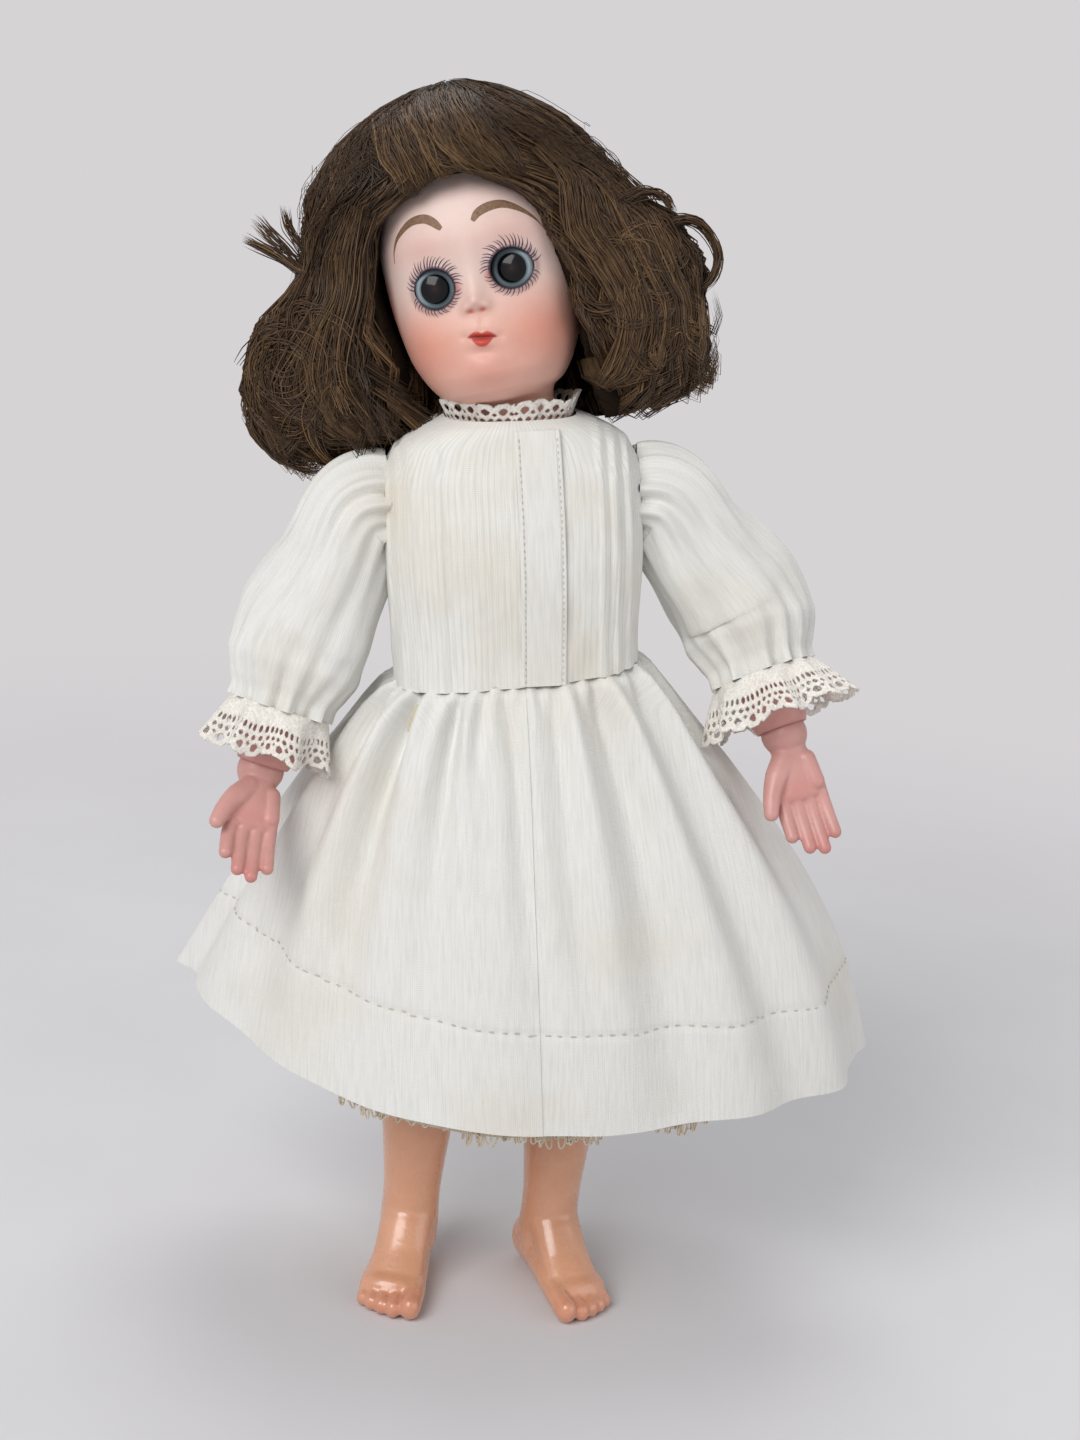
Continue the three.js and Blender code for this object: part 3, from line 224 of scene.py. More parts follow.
def mesh_object(name, points, faces, finish, smooth=True, attributes=(), uv=None):
    """A mesh from points in millimetres and faces' corner numbers, with colours or numbers per point."""
    points = np.asarray(points, float).reshape(-1, 3)
    faces = np.asarray(faces, np.int32)
    mesh = bpy.data.meshes.new(name)
    mesh.vertices.add(len(points))
    mesh.vertices.foreach_set("co", (points / 1000).astype(np.float32).ravel())
    mesh.loops.add(faces.size)
    mesh.loops.foreach_set("vertex_index", faces.ravel())
    mesh.polygons.add(len(faces))
    mesh.polygons.foreach_set("loop_start", np.arange(len(faces), dtype=np.int32) * faces.shape[1])
    mesh.polygons.foreach_set("use_smooth", np.full(len(faces), smooth))
    for key, values in dict(attributes).items():
        values = np.asarray(values, np.float32)
        if values.ndim > 1 and values.shape[-1] == 3:
            layer = mesh.attributes.new(key, "FLOAT_COLOR", "POINT")
            values = np.concatenate([values.reshape(-1, 3), np.ones((len(points), 1))], 1)
            layer.data.foreach_set("color", values.astype(np.float32).ravel())
        else:
            layer = mesh.attributes.new(key, "FLOAT", "POINT")
            layer.data.foreach_set("value", values.ravel())
    if uv is not None:
        layer = mesh.uv_layers.new(name="surface")
        layer.data.foreach_set("uv", np.asarray(uv, np.float32).reshape(-1, 2)[faces.ravel()].ravel())
    mesh.update(calc_edges=True)
    mesh.validate()
    mesh.materials.append(finish.material)
    made = bpy.data.objects.new(name, mesh)
    bpy.context.scene.collection.objects.link(made)
    return made


def grid_faces(rows, columns, around=False, ends=False):
    """Corner numbers of the quads of a grid of points, closed across its columns or rows if asked."""
    number = np.arange(rows * columns).reshape(rows, columns)
    if around:
        number = np.concatenate([number, number[:, :1]], 1)
    if ends:
        number = np.concatenate([number, number[:1]], 0)
    corners = number[:-1, :-1], number[:-1, 1:], number[1:, 1:], number[1:, :-1]
    return np.stack(corners, -1).reshape(-1, 4)


TABLE_REACH = 6000
PAPER = ink(214, 211, 213)
FLOOR_FADE = (0.22, 0.8)  # distances in metres between which the table top takes the backdrop's colour
table = Finish("table_top", roughness=0.95, Specular_IOR_Level=0.0)
table.colour(table.patches(9, 4, (214, 213, 215), (220, 219, 221)))
away = table.node("ShaderNodeVectorMath", operation="LENGTH")
table.link(table.place(), away.inputs[0])
fading = table.fade(away.outputs["Value"], *FLOOR_FADE, kind="SMOOTHSTEP")
paper = table.node("ShaderNodeEmission", Color=PAPER)
blend = table.node("ShaderNodeMixShader")
table.link(table.math("MULTIPLY", fading, table.seen_directly()), blend.inputs[0])
table.link(table.shader.outputs[0], blend.inputs[1])
table.link(paper.outputs[0], blend.inputs[2])
table.link(blend.outputs[0], table.nodes["Material Output"].inputs["Surface"])
corners = [(x * TABLE_REACH, y * TABLE_REACH, 0) for x, y in ((-1, -1), (1, -1), (1, 1), (-1, 1))]
floor = mesh_object("table_top", corners, [(0, 1, 2, 3)], table, smooth=False)

world = bpy.data.worlds.new("background")
bpy.context.scene.world = world
sky = Nodes(world)
sky_colour = sky.mix(sky.seen_directly(), (0.36, 0.36, 0.37, 1), PAPER)
sky.link(sky_colour, sky.nodes["Background"].inputs["Color"])


# Joint frames: where each jointed piece of the doll stands, read from the
# packed joints, as matrices from the piece's own millimetres to the doll's.
joint = {one["name"]: one for one in frame["joints"]}


def spot(name):
    """A joint's place in millimetres."""
    return np.array(joint[name]["pos_m"], float) * 1000


def axis(name):
    """A joint's axis as a direction of length 1."""
    return unit(np.array(joint[name]["axis"], float))


def frame_at(origin, across, up):
    """Matrix with X along across and Z along up, as near as the two allow."""
    across = unit(across)
    behind = unit(np.cross(up, across))
    return placed_matrix(across, behind, np.cross(across, behind), origin)


def carry(matrix, points):
    """Points of a piece's own frame in the doll's frame."""
    return points @ matrix[:3, :3].T + matrix[:3, 3]


TORSO_FRAME = frame_at((spot("hip_swing_left") + spot("hip_swing_right")) / 2,
                       -axis("shoulder_swing_left"), axis("head_turn"))
EYE_TILT = math.radians(4.5)
rocker = axis("eyes_close")
head_across = rocker * math.cos(EYE_TILT) - np.cross(rocker, axis("head_tilt")) * math.sin(EYE_TILT)
HEAD_FRAME = frame_at(spot("head_turn"), head_across, np.cross(head_across, axis("head_tilt")))

# Head: hollow bisque, poured in a mould, with a rounded neck that turns in a
# socket, cut eye openings, moulded ears, and matte fired skin colour with
# blushed cheeks and a small painted mouth.
HEAD_ROWS = np.array([  # height above the neck joint, half-width, depth in front, depth behind
    [-8, 9.9, 9.9, 9.9], [-6, 11.5, 11.5, 11.5], [1, 12.9, 12.9, 12.9], [4.2, 12.2, 12.3, 12.2],
    [6.5, 12.8, 18.5, 12.6], [9, 16, 23.0, 15.6], [14, 19.4, 25.2, 19], [20, 21.8, 25, 23],
    [36, 24.2, 23.6, 28], [45, 24.4, 24.6, 28.6], [54, 22.8, 22.6, 27.4], [62, 18.4, 17.6, 23],
    [68, 12, 11, 15.4], [71.5, 4, 4, 5.5]])
HEAD_POWER = 2.15
EYE_HEIGHT, EYE_FROM_MIDDLE = 36, 9.7
EYE_PLACES = [(side, side * EYE_FROM_MIDDLE * math.cos(EYE_TILT),
               EYE_HEIGHT + side * EYE_FROM_MIDDLE * math.sin(EYE_TILT)) for side in (-1, 1)]
EYE_OPENING = (5.0, 4.8)
MOUTH = (0.0, 22.0)
MOUTH_TILT = -0.14
RIM_DEPTH = 1.6


def read_rows(rows, at):
    """Columns of a table at any height, on a curve through its rows that never overshoots them."""
    x, y = rows[:, 0], rows[:, 1:]
    step = np.diff(x)[:, None]
    slope = np.diff(y, axis=0) / step
    same = (slope[:-1] * slope[1:]) > 0
    inner = np.where(same, 2 * slope[:-1] * slope[1:] / np.where(same, slope[:-1] + slope[1:], 1), 0)
    tangent = np.concatenate([slope[:1], inner, slope[-1:]])
    at = np.clip(at, x[0], x[-1])
    k = np.clip(np.searchsorted(x, at, side="right") - 1, 0, len(x) - 2)
    h = (x[k + 1] - x[k])[..., None]
    t = (at - x[k])[..., None] / h
    return ((2 * t**3 - 3 * t**2 + 1) * y[k] + (t**3 - 2 * t**2 + t) * h * tangent[k]
            + (3 * t**2 - 2 * t**3) * y[k + 1] + (t**3 - t**2) * h * tangent[k + 1])


def rounded(rows, height, angle, power, grow=0.0):
    """Points of a rounded-rectangle outline whose half-width and depths follow a table.

    x = w s r and y = -d c r, with s and c the sine and cosine of the angle
    from the front and r = (|s|^p + |c|^p)^(-1/p).
    """
    width, front, behind = np.moveaxis(read_rows(rows, height), -1, 0)
    s, c = np.sin(angle), np.cos(angle)
    reach = (np.abs(s) ** power + np.abs(c) ** power) ** (-1 / power)
    return (width + grow) * s * reach, -(np.where(c > 0, front, behind) + grow) * c * reach


def blob(x, z, at, spread, height=1.0):
    """A soft hump: height times exp(-(dx/a)^2 - (dz/b)^2)."""
    return height * np.exp(-((x - at[0]) / spread[0]) ** 2 - ((z - at[1]) / spread[1]) ** 2)


def mouth_frame(x, z):
    """Distances from the middle of the mouth along and across its line."""
    dx, dz = x - MOUTH[0], z - MOUTH[1]
    return dx + MOUTH_TILT * dz, dz - MOUTH_TILT * dx


def eye_reach(x, z, place):
    """1 on the edge of an eye opening, less inside it."""
    return np.hypot((x - place[1]) / EYE_OPENING[0], (z - place[2]) / EYE_OPENING[1])


def relief(x, z):
    """How far the moulded features stand forward of the plain head, as a sum of soft humps."""
    mx, mz = mouth_frame(x, z)
    out = blob(x, z, (0, 39), (3.4, 6.0), 1.1) + blob(x, z, (-0.1, 33.4), (2.6, 3.8), 1.5)
    out += blob(x, z, (-0.2, 30.6), (2.3, 2.1), 2.3) + blob(x, z, (0, 52), (14, 8), 0.7)
    out += blob(mx, mz, (0, 0.4), (7.0, 5.4), 1.3) + blob(mx, mz, (0, -7.6), (5.4, 4.2), 1.5)
    out += blob(mx, mz, (0, -3.9), (3.6, 1.3), -0.7) + blob(mx, mz, (0, 3.3), (0.9, 1.5), -0.3)
    out += blob(mx, mz, (0, -1.5), (2.3, 0.95), 0.8) + blob(mx, mz, (0, -0.05), (3.2, 0.42), -0.75)
    for side in (-1, 1):
        out += blob(x, z, (side * 2.75 - 0.2, 29.4), (1.35, 1.4), 1.15)
        out += blob(x, z, (side * 1.45 - 0.2, 28.4), (0.85, 0.55), -0.7)
        out += blob(mx, mz, (side * 1.45, 1.1), (1.5, 0.85), 0.7)
        out += blob(mx, mz, (side * 4.5, 0.1), (1.1, 1.3), -0.35)
        out += blob(x, z, (side * 14.5, 24), (7, 7.5), 1.3) + blob(x, z, (side * 11, 46.5), (7, 2.8), 0.3)
    for place in EYE_PLACES:
        out += blob(x, z, place[1:], (7.0, 6.4), -1.1)
        out += 0.6 * np.exp(-((eye_reach(x, z, place) - 1.12) / 0.13) ** 2)
    return out


def skin_y(x, z):
    """The front surface of the face over a place on its front."""
    width, front, _ = np.moveaxis(read_rows(HEAD_ROWS, z), -1, 0)
    share = np.clip(np.abs(x) / width, 0, 0.999)
    return -front * (1 - share ** HEAD_POWER) ** (1 / HEAD_POWER) - relief(x, z)


def soft_step(value, low, high):
    """0 below low, 1 above high, and 3t^2 - 2t^3 between."""
    t = np.clip((value - low) / (high - low), 0, 1)
    return t * t * (3 - 2 * t)


def skin_colour(x, y, z):
    """Fired skin colour: pale forehead, blushed cheeks and chin, painted lips and nostrils, with painted shade
    in the nostrils and in the mouth's gap.
    """
    def tone(*rgb):
        return np.array(ink(*rgb)[:3])

    def over(base, colour, share):
        return base + (tone(*colour) - base) * share[..., None]

    front = soft_step(-y, 2, 12)
    base = np.broadcast_to(tone(226, 200, 190), x.shape + (3,)).copy()
    base = over(base, (221, 168, 150), 0.85 * soft_step(-z, -40, -20))
    beside = soft_step(np.abs(x), 20.5, 24) * soft_step(z, 16, 24) * (1 - soft_step(z, 36, 44))
    for side in (-1, 1):
        base = over(base, (219, 142, 120), 0.75 * blob(x, z, (side * 15, 21), (8.5, 8)))
        base = over(base, (214, 150, 138), 0.35 * blob(x, z, (side * 11, 45), (9, 4)))
        # Nostrils: red nostril paint that also stands for the painted shade in the nostril hollows.
        base = over(base, (196, 92, 74), 0.85 * front * blob(x, z, (side * 1.5 - 0.2, 28.3), (1.0, 0.6)))
        base = over(base, (205, 120, 104), 0.6 * beside)
    base = over(base, (214, 140, 124), 0.45 * blob(x, z, (0, 13), (8, 5)))
    for place in EYE_PLACES:
        inner = (place[1] - place[0] * 5.3, place[2] - 0.6)
        base = over(base, (214, 110, 96), 0.8 * front * blob(x, z, inner, (1.1, 1.4)))
        ring = eye_reach(x, z, place)
        base = over(base, (120, 88, 96), 0.45 * front * np.exp(-((ring - 1.1) / 0.22) ** 2))
        base = over(base, (36, 26, 34), front * (1 - soft_step(ring, 1.03, 1.13)))
    mx, mz = mouth_frame(x, z)
    bow = 1.9 * (1 - (mx / 3.9) ** 2) * (1 - 0.38 * np.exp(-(mx / 0.9) ** 2))
    upper = soft_step(bow - mz, 0, 0.35) * soft_step(mz, -0.35, 0)
    lower = soft_step(2.5 * (1 - np.abs(mx / 3.0) ** 2.2) + mz, 0, 0.4) * soft_step(-mz, -0.2, 0.1)
    lips = front * np.maximum(upper, lower) * (np.abs(mx) < 3.9)
    base = over(base, (190, 58, 42), 0.95 * lips)
    # The dark red line along the mouth's groove is the open mouth: its red paint, and painted shade inside the
    # gap.
    base = over(base, (120, 26, 22), 0.85 * front * np.exp(-(mz / 0.3) ** 2) * (np.abs(mx) < 3.2))
    return base


bisque = Finish("bisque", roughness=0.52, Coat_Weight=0.08, Coat_Roughness=0.35, Subsurface_Weight=0.06,
                Subsurface_Radius=(0.004, 0.002, 0.001), Subsurface_Scale=0.5)
mottle = bisque.ramp(bisque.noise(220, 4), [(0.3, (0.955, 0.95, 0.95, 1)), (0.7, (1, 1, 1, 1))])
bisque.colour(bisque.mix(1.0, bisque.attribute("skin", "Color"), mottle, "MULTIPLY"))
bisque.bump(bisque.noise(1400, 3), 0.00004)

columns, rows = 330, 262
s = np.linspace(-1, 1, columns, endpoint=False)
angle = (math.pi * (0.45 * s + 0.55 * s**3))[None, :]
rise = np.linspace(0, 1, rows)[:, None]
height = -7.8 + rise * 68.8 + 0 * angle
crown_cut = soft_step(rise, 0.72, 1.0) * 0.213
height = height - crown_cut * (14 * (1 - np.cos(angle)))
x, y = rounded(HEAD_ROWS, height, angle, HEAD_POWER)
front = soft_step(np.cos(angle), 0.05, 0.4)
y = y - relief(x, height) * front
points = np.stack([x, y, height], -1)
opened = np.zeros(x.shape, bool)
for place in EYE_PLACES:
    reach = eye_reach(x, height, place)
    opened |= (reach < 1) & (y < 0)
quads = grid_faces(rows, columns, around=True)
kept = quads[~opened.ravel()[quads].any(1)]
edge_use = np.zeros(rows * columns, int)
np.add.at(edge_use, kept.ravel(), 1)
flat = points.reshape(-1, 3)
rim_faces, rim_points = [], []
for place in EYE_PLACES:
    reach = eye_reach(flat[:, 0], flat[:, 2], place)
    near = np.nonzero((reach < 1.12) & (reach >= 1) & (flat[:, 1] < 0) & (edge_use > 0) & (edge_use < 4))[0]
    turned = np.arctan2((flat[near, 2] - place[2]) / EYE_OPENING[1],
                        (flat[near, 0] - place[1]) / EYE_OPENING[0])
    near, turned = near[np.argsort(turned)], np.sort(turned)
    flat[near, 0] = place[1] + EYE_OPENING[0] * np.cos(turned)
    flat[near, 2] = place[2] + EYE_OPENING[1] * np.sin(turned)
    flat[near, 1] = skin_y(flat[near, 0], flat[near, 2])
    start = len(flat) + sum(len(p) for p in rim_points)
    rim_points.append(flat[near] + np.array([0, RIM_DEPTH, 0]))
    ring = np.arange(len(near))
    after = (ring + 1) % len(near)
    rim_faces.append(np.stack([near[ring], near[after], start + after, start + ring], -1))
all_points = np.concatenate([flat] + rim_points)
all_faces = np.concatenate([kept] + rim_faces)
skin = skin_colour(all_points[:, 0], all_points[:, 1], all_points[:, 2])
skin[len(flat):] = ink(40, 28, 34)[:3]
head = mesh_object("bisque_head", carry(HEAD_FRAME, all_points), all_faces, bisque, attributes={"skin": skin})
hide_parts("head_shell")
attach(head, "head")

# Glass eyes: blown balls with a black pupil set in a narrow grey-blue iris and
# a lid painted above it, held by a wire and turned shut by a lead weight.
EYE_RADIUS, IRIS_RADIUS, EYE_DEPTH = 7.5, 5.25, 14
IRIS = [  # share of the radius and colour there
    (0.0, (52, 34, 34)), (0.16, (30, 22, 24)), (0.4, (9, 8, 11)), (0.66, (7, 8, 11)), (0.70, (96, 112, 120)),
    (0.80, (150, 164, 168)), (0.90, (112, 128, 136)), (0.97, (26, 30, 38)), (1.0, (20, 22, 28))]
eye_glass = Finish("eye_glass", roughness=0.2, Specular_IOR_Level=0.1, Coat_Weight=0.35, Coat_Roughness=0.03)
threads = eye_glass.node("ShaderNodeTexWave", Scale=14.0, Distortion=1.5, Detail=2.0)
spoke = eye_glass.node("ShaderNodeCombineXYZ")
eye_glass.link(eye_glass.attribute("spoke"), spoke.inputs[0])
eye_glass.link(spoke.outputs[0], threads.inputs["Vector"])
iris = eye_glass.ramp(eye_glass.attribute("reach"), [(at, ink(*colour)) for at, colour in IRIS])
iris = eye_glass.mix(0.16, iris, threads.outputs["Color"], "MULTIPLY")
eye_glass.colour(eye_glass.mix(eye_glass.attribute("lid"), iris, ink(216, 172, 154)))
columns, rows = 96, 72
across_ball, down_ball = np.meshgrid(np.linspace(0, 2 * math.pi, columns, endpoint=False),
                                     np.linspace(0.0, math.pi, rows))
reach = np.where(down_ball > math.pi / 2, 2.0, EYE_RADIUS * np.sin(down_ball) / IRIS_RADIUS)
above = np.degrees(np.arctan2(np.sin(down_ball) * np.sin(across_ball), np.cos(down_ball)))
painted = {"reach": np.clip(reach, 0, 1), "spoke": across_ball / math.pi,
           "lid": soft_step(above, 40.5, 42) * (1 - soft_step(above, 150, 160))}
for (_, middle_x, middle_z), name in zip(EYE_PLACES, ("right", "left")):
    ball = np.stack([middle_x + EYE_RADIUS * np.sin(down_ball) * np.cos(across_ball),
                     -EYE_DEPTH - EYE_RADIUS * np.cos(down_ball),
                     middle_z + EYE_RADIUS * np.sin(down_ball) * np.sin(across_ball)], -1)
    eyeball = mesh_object(f"glass_eye_{name}", carry(HEAD_FRAME, ball.reshape(-1, 3)),
                          grid_faces(rows, columns, around=True), eye_glass, attributes=painted)
    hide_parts(f"eyeball_{name}")
    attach(eyeball, "eyes")

# Painted lashes and brows: fine single strokes of fired colour on the skin,
# modelled as strips a few hundredths of a millimetre proud of it.
lash_paint = Finish("lash_paint", roughness=0.5)
lash_paint.colour(lash_paint.patches(900, 3, (52, 32, 50), (84, 56, 76)))
brow_paint = Finish("brow_paint", roughness=0.55)
brow_paint.colour(brow_paint.patches(1300, 4, (104, 76, 56), (140, 108, 82)))


def repeated(one, count, points_each):
    """The faces of one strip or tube, repeated for a count of them that each have so many points."""
    return (one[None] + (np.arange(count) * points_each)[:, None, None]).reshape(-1, 4)


def strokes(name, paths, widths, finish, lift=0.07):
    """Thin strips on the face: each path of (x, z) places, with its widths, lies just over the skin."""
    paths = np.asarray(paths, float)
    widths = np.asarray(widths, float)
    along = unit(np.gradient(paths, axis=1), 1e-9)
    half = np.stack([-along[..., 1], along[..., 0]], -1) * widths[..., None] / 2
    three = np.stack([paths - half, paths, paths + half], 2)
    y = skin_y(three[..., 0], three[..., 1]) - np.array([0.02, lift, 0.02])
    points = np.stack([three[..., 0], y, three[..., 1]], -1)
    n, m = paths.shape[:2]
    faces = repeated(grid_faces(m, 3)[:, ::-1], n, m * 3)
    made = mesh_object(name, carry(HEAD_FRAME, points.reshape(-1, 3)), faces, finish)
    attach(made, "head")


def lengths_along(line):
    """Length along a row of places, from its first to each of them."""
    return np.concatenate([[0], np.linalg.norm(np.diff(line, axis=0), axis=1).cumsum()])


def places_along(line, at):
    """The places at given lengths along a row of places."""
    gone = lengths_along(line)
    return np.stack([np.interp(at, gone, line[:, i]) for i in range(line.shape[1])], -1)


def curve_through(places, count):
    """Evenly parted points on a uniform Catmull-Rom spline through places."""
    places = np.asarray(places, float)
    ends = np.concatenate([2 * places[:1] - places[1:2], places, 2 * places[-1:] - places[-2:-1]])
    t = np.linspace(0, len(places) - 1, 60 * len(places))
    k = np.minimum(t.astype(int), len(places) - 2)
    f = (t - k)[:, None]
    p0, p1, p2, p3 = ends[k], ends[k + 1], ends[k + 2], ends[k + 3]
    bend = (2 * p0 - 5 * p1 + 4 * p2 - p3) * f**2
    fine = 0.5 * (2 * p1 + (p2 - p0) * f + bend + (3 * p1 - p0 - 3 * p2 + p3) * f**3)
    return places_along(fine, np.linspace(0, lengths_along(fine)[-1], count))


rng = np.random.default_rng(11)
lash_paths, lash_widths = [], []
for place in EYE_PLACES:
    side = place[0]
    for begin, end, count, length in ((8, 172, 23, 3.1), (196, 344, 17, 1.9)):
        for k, degrees in enumerate(np.linspace(begin, end, count)):
            a = math.radians(degrees + rng.uniform(-2, 2))
            size = length * rng.uniform(0.8, 1.12)
            if begin < 90:
                size *= 0.72 + 0.34 * math.sin(a)
            t = np.linspace(0, 1, 7)
            out = 1.02 + size * t / 5
            lean = a + 0.16 * side * t * t * (1 if begin < 90 else -1)
            lash_paths.append(np.stack([place[1] + EYE_OPENING[0] * out * np.cos(lean),
                                        place[2] + EYE_OPENING[1] * out * np.sin(lean)], -1))
            lash_widths.append((0.4 if begin < 90 else 0.32) * (1 - t) ** 0.8 + 0.05)
strokes("painted_lashes", lash_paths, lash_widths, lash_paint)

BROWS = {
    "right": [(-5.0, 48.8), (-7.0, 50.9), (-9.2, 52.0), (-12.7, 51.7), (-16.4, 49.2), (-18.2, 46.2),
              (-18.9, 43.2)],
    "left": [(2.8, 49.2), (4.4, 50.9), (7.4, 51.9), (10.6, 51.8), (14.1, 50.0), (17.1, 47.3), (19.1, 44.1)]}
for name, places in BROWS.items():
    middle = curve_through(places, 40)
    t = np.linspace(0, 1, 40)
    swell = np.clip(np.sin(math.pi * np.clip(t * 1.05 + 0.03, 0, 1) ** 0.62), 0, 1)
    width = 2.3 * swell * (1 - 0.55 * t) + 0.22
    strokes(f"painted_brow_{name}", [middle], [width], brow_paint, lift=0.09)

# Wig: a shoulder-length bob of dark brown hair with a swept fringe, sewn on
# a net cap and set in loose rolled curls. An under-layer carries it, painted
# darker than the strands as the shade deep in the hair, and thousands of fine
# strands lie over that in locks.
WIG_ROWS = np.array([  # height, half-width to the doll's left and to its right, depth in front and behind
    [-4, 34, 47, 3, 22], [0, 43, 53, 7, 27], [5, 49, 59, 10, 30], [12, 52, 65, 13, 32], [20, 53, 66, 16, 34],
    [30, 54, 62, 18, 35], [37, 51.5, 56, 19, 35.5], [42, 49, 48.5, 19.5, 35.5], [48, 42, 43.5, 21.5, 35.5],
    [56, 36.5, 41.5, 25, 34.5], [64, 32.5, 38.5, 26.5, 32.5], [72, 26, 31.5, 25.5, 28],
    [78, 17.5, 22, 20, 21], [82, 9.5, 12, 13, 14], [84, 2, 3, 4, 5]])
WIG_POWER = 2.2
UNDER_DEPTH, UNDER_CLEAR = 3.4, 1.3  # how deep the under-layer lies in the hair, and how far off the head
HAIR_EDGE = np.array([  # height, how far from the middle the hair begins on the doll's left and right
    [-4, 27, 25], [6, 24.5, 23.5], [13, 23.5, 25], [25, 23.5, 27.5], [36, 22, 27], [43, 20, 25.5],
    [50, 18, 23], [55.5, 14.5, 19.5], [58.5, 8.5, 12], [61, 2.5, 3.5], [62.5, 0, 0], [84, 0, 0]])


def hair_angle(place, height, inside=False):
    """Angle round the head of a lock: its place, -1 to 1, is spread evenly over the hair beside the face."""
    if inside:
        width = read_rows(HEAD_ROWS, np.clip(height, 20, 66))[..., :1] + UNDER_CLEAR
    else:
        width = read_rows(WIG_ROWS, height)[..., :2]
    edge = read_rows(HAIR_EDGE, height) / width
    start = np.arcsin(np.clip(np.where(place > 0, edge[..., 0], edge[..., 1]), 0, 0.98))
    angle = np.sign(place) * (start + np.abs(place) ** 1.15 * (math.pi - start))
    return angle - 0.38 * soft_step(height, 60, 76) * (1 - np.abs(place)) ** 1.5


def hair_shell(height, angle, proud=0.0):
    """A place on the outside of the hair: a rounded outline whose half-widths and depths follow a table."""
    left, right, front, behind = np.moveaxis(read_rows(WIG_ROWS, height), -1, 0)
    s, c = np.sin(angle), np.cos(angle)
    reach = (np.abs(s) ** WIG_POWER + np.abs(c) ** WIG_POWER) ** (-1 / WIG_POWER)
    width, deep = np.where(s > 0, left, right), np.where(c > 0, front, behind)
    raised = height + proud * soft_step(height, 70, 84)
    return np.stack([(width + proud) * s * reach, -(deep + proud) * c * reach, raised], -1)


# Painted shade: the under-layer is coloured darker than the strands, for the shade deep inside the hair.
hair_under_painted_shade = Finish("dark_hair", roughness=0.9, Specular_IOR_Level=0.1)
hair_under_painted_shade.colour(hair_under_painted_shade.patches(160, 3, (26, 19, 12), (42, 31, 20), low=0.35))
hair_under_painted_shade.bump(hair_under_painted_shade.noise(900, 2), 0.0004)

rows, half_arc = 90, 48
over_crown = 60 + 23.6 * np.sin(np.linspace(0, math.pi / 2, 31)[1:])
height = np.concatenate([np.linspace(-4, 60, 60), over_crown])[:, None]
place = np.concatenate([np.linspace(1e-4, 1, half_arc), np.linspace(-1, -1e-4, half_arc)[1:]])[None, :]
height = height + 0 * place
angle = hair_angle(place, height)
ridge = 0.9 * np.sin(46 * place + 2 * np.sin(height / 9)) + 0.6 * np.sin(height / 2.6 + 14 * place)
outer = hair_shell(height, angle, -UNDER_DEPTH + ridge)
inner_angle = hair_angle(place, height, inside=True)
inner_x, inner_y = rounded(HEAD_ROWS, np.clip(height, 20, 66), inner_angle, HEAD_POWER, UNDER_CLEAR)
inner = np.stack([inner_x, inner_y, height], -1)
close = np.clip((66 - height) / 3, 0, 1)[..., None]
inner = inner * close + outer * (1 - close) - np.array([0, 0, 1.2]) * (1 - close)
thin = soft_step(height, -4, 4)[..., None]
inner = outer + (inner - outer) * thin
ring = np.concatenate([outer, inner[:, ::-1]], 1)
wig_base = mesh_object("wig_under_layer", carry(HEAD_FRAME, ring.reshape(-1, 3)),
                       grid_faces(rows, ring.shape[1], around=True), hair_under_painted_shade)
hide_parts("wig_crown", "wig_curls")
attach(wig_base, "head")


# Each strand has its own tone, finely mottled along its length.
brown_hair = Finish("brown_hair", roughness=0.42, Specular_IOR_Level=0.35)
mottle = brown_hair.math("MULTIPLY", brown_hair.math("SUBTRACT", brown_hair.noise(420, 3), 0.5), 0.35)
mottle = brown_hair.math("ADD", brown_hair.attribute("tone"), mottle)
brown_hair.colour(brown_hair.ramp(
    mottle, [(0.05, ink(40, 28, 17)), (0.5, ink(72, 52, 33)), (0.95, ink(122, 94, 62))]))
brown_hair.bump(brown_hair.noise(2600, 2), 0.00006)


def strand_bundle(name, paths, radius, tone):
    """Strands: three-sided tubes that taper at their roots and to a point at their tips, many in one mesh.

    Each path's places move out to the corners of a triangle square to its
    direction. The radius is one number per strand.
    """
    n, m, _ = paths.shape
    along = unit(np.gradient(paths, axis=1), 1e-9)
    steady = np.where(np.abs(along[..., 1:2]) < 0.9, np.array([0, 1, 0]), np.array([1, 0, 0]))
    across = unit(steady - along * (along * steady).sum(-1, keepdims=True), 1e-9)
    other = np.cross(along, across)
    share = np.linspace(0, 1, m)
    taper = np.clip(np.minimum(0.35 + 6 * share, 4.5 * (1.0 - share) + 0.04), 0, 1)
    size = np.asarray(radius)[:, None] * taper[None]
    corners = [paths + size[..., None] * (math.cos(a) * across + math.sin(a) * other)
               for a in (0, 2.094, 4.189)]
    points = np.stack(corners, 2)
    faces = repeated(grid_faces(m, 3, around=True), n, m * 3)
    shade = np.repeat(np.asarray(tone), m * 3) + np.tile(np.repeat(0.16 * share, 3), n)
    made = mesh_object(name, carry(HEAD_FRAME, points.reshape(-1, 3)), faces, brown_hair,
                       attributes={"tone": shade})
    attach(made, "head")


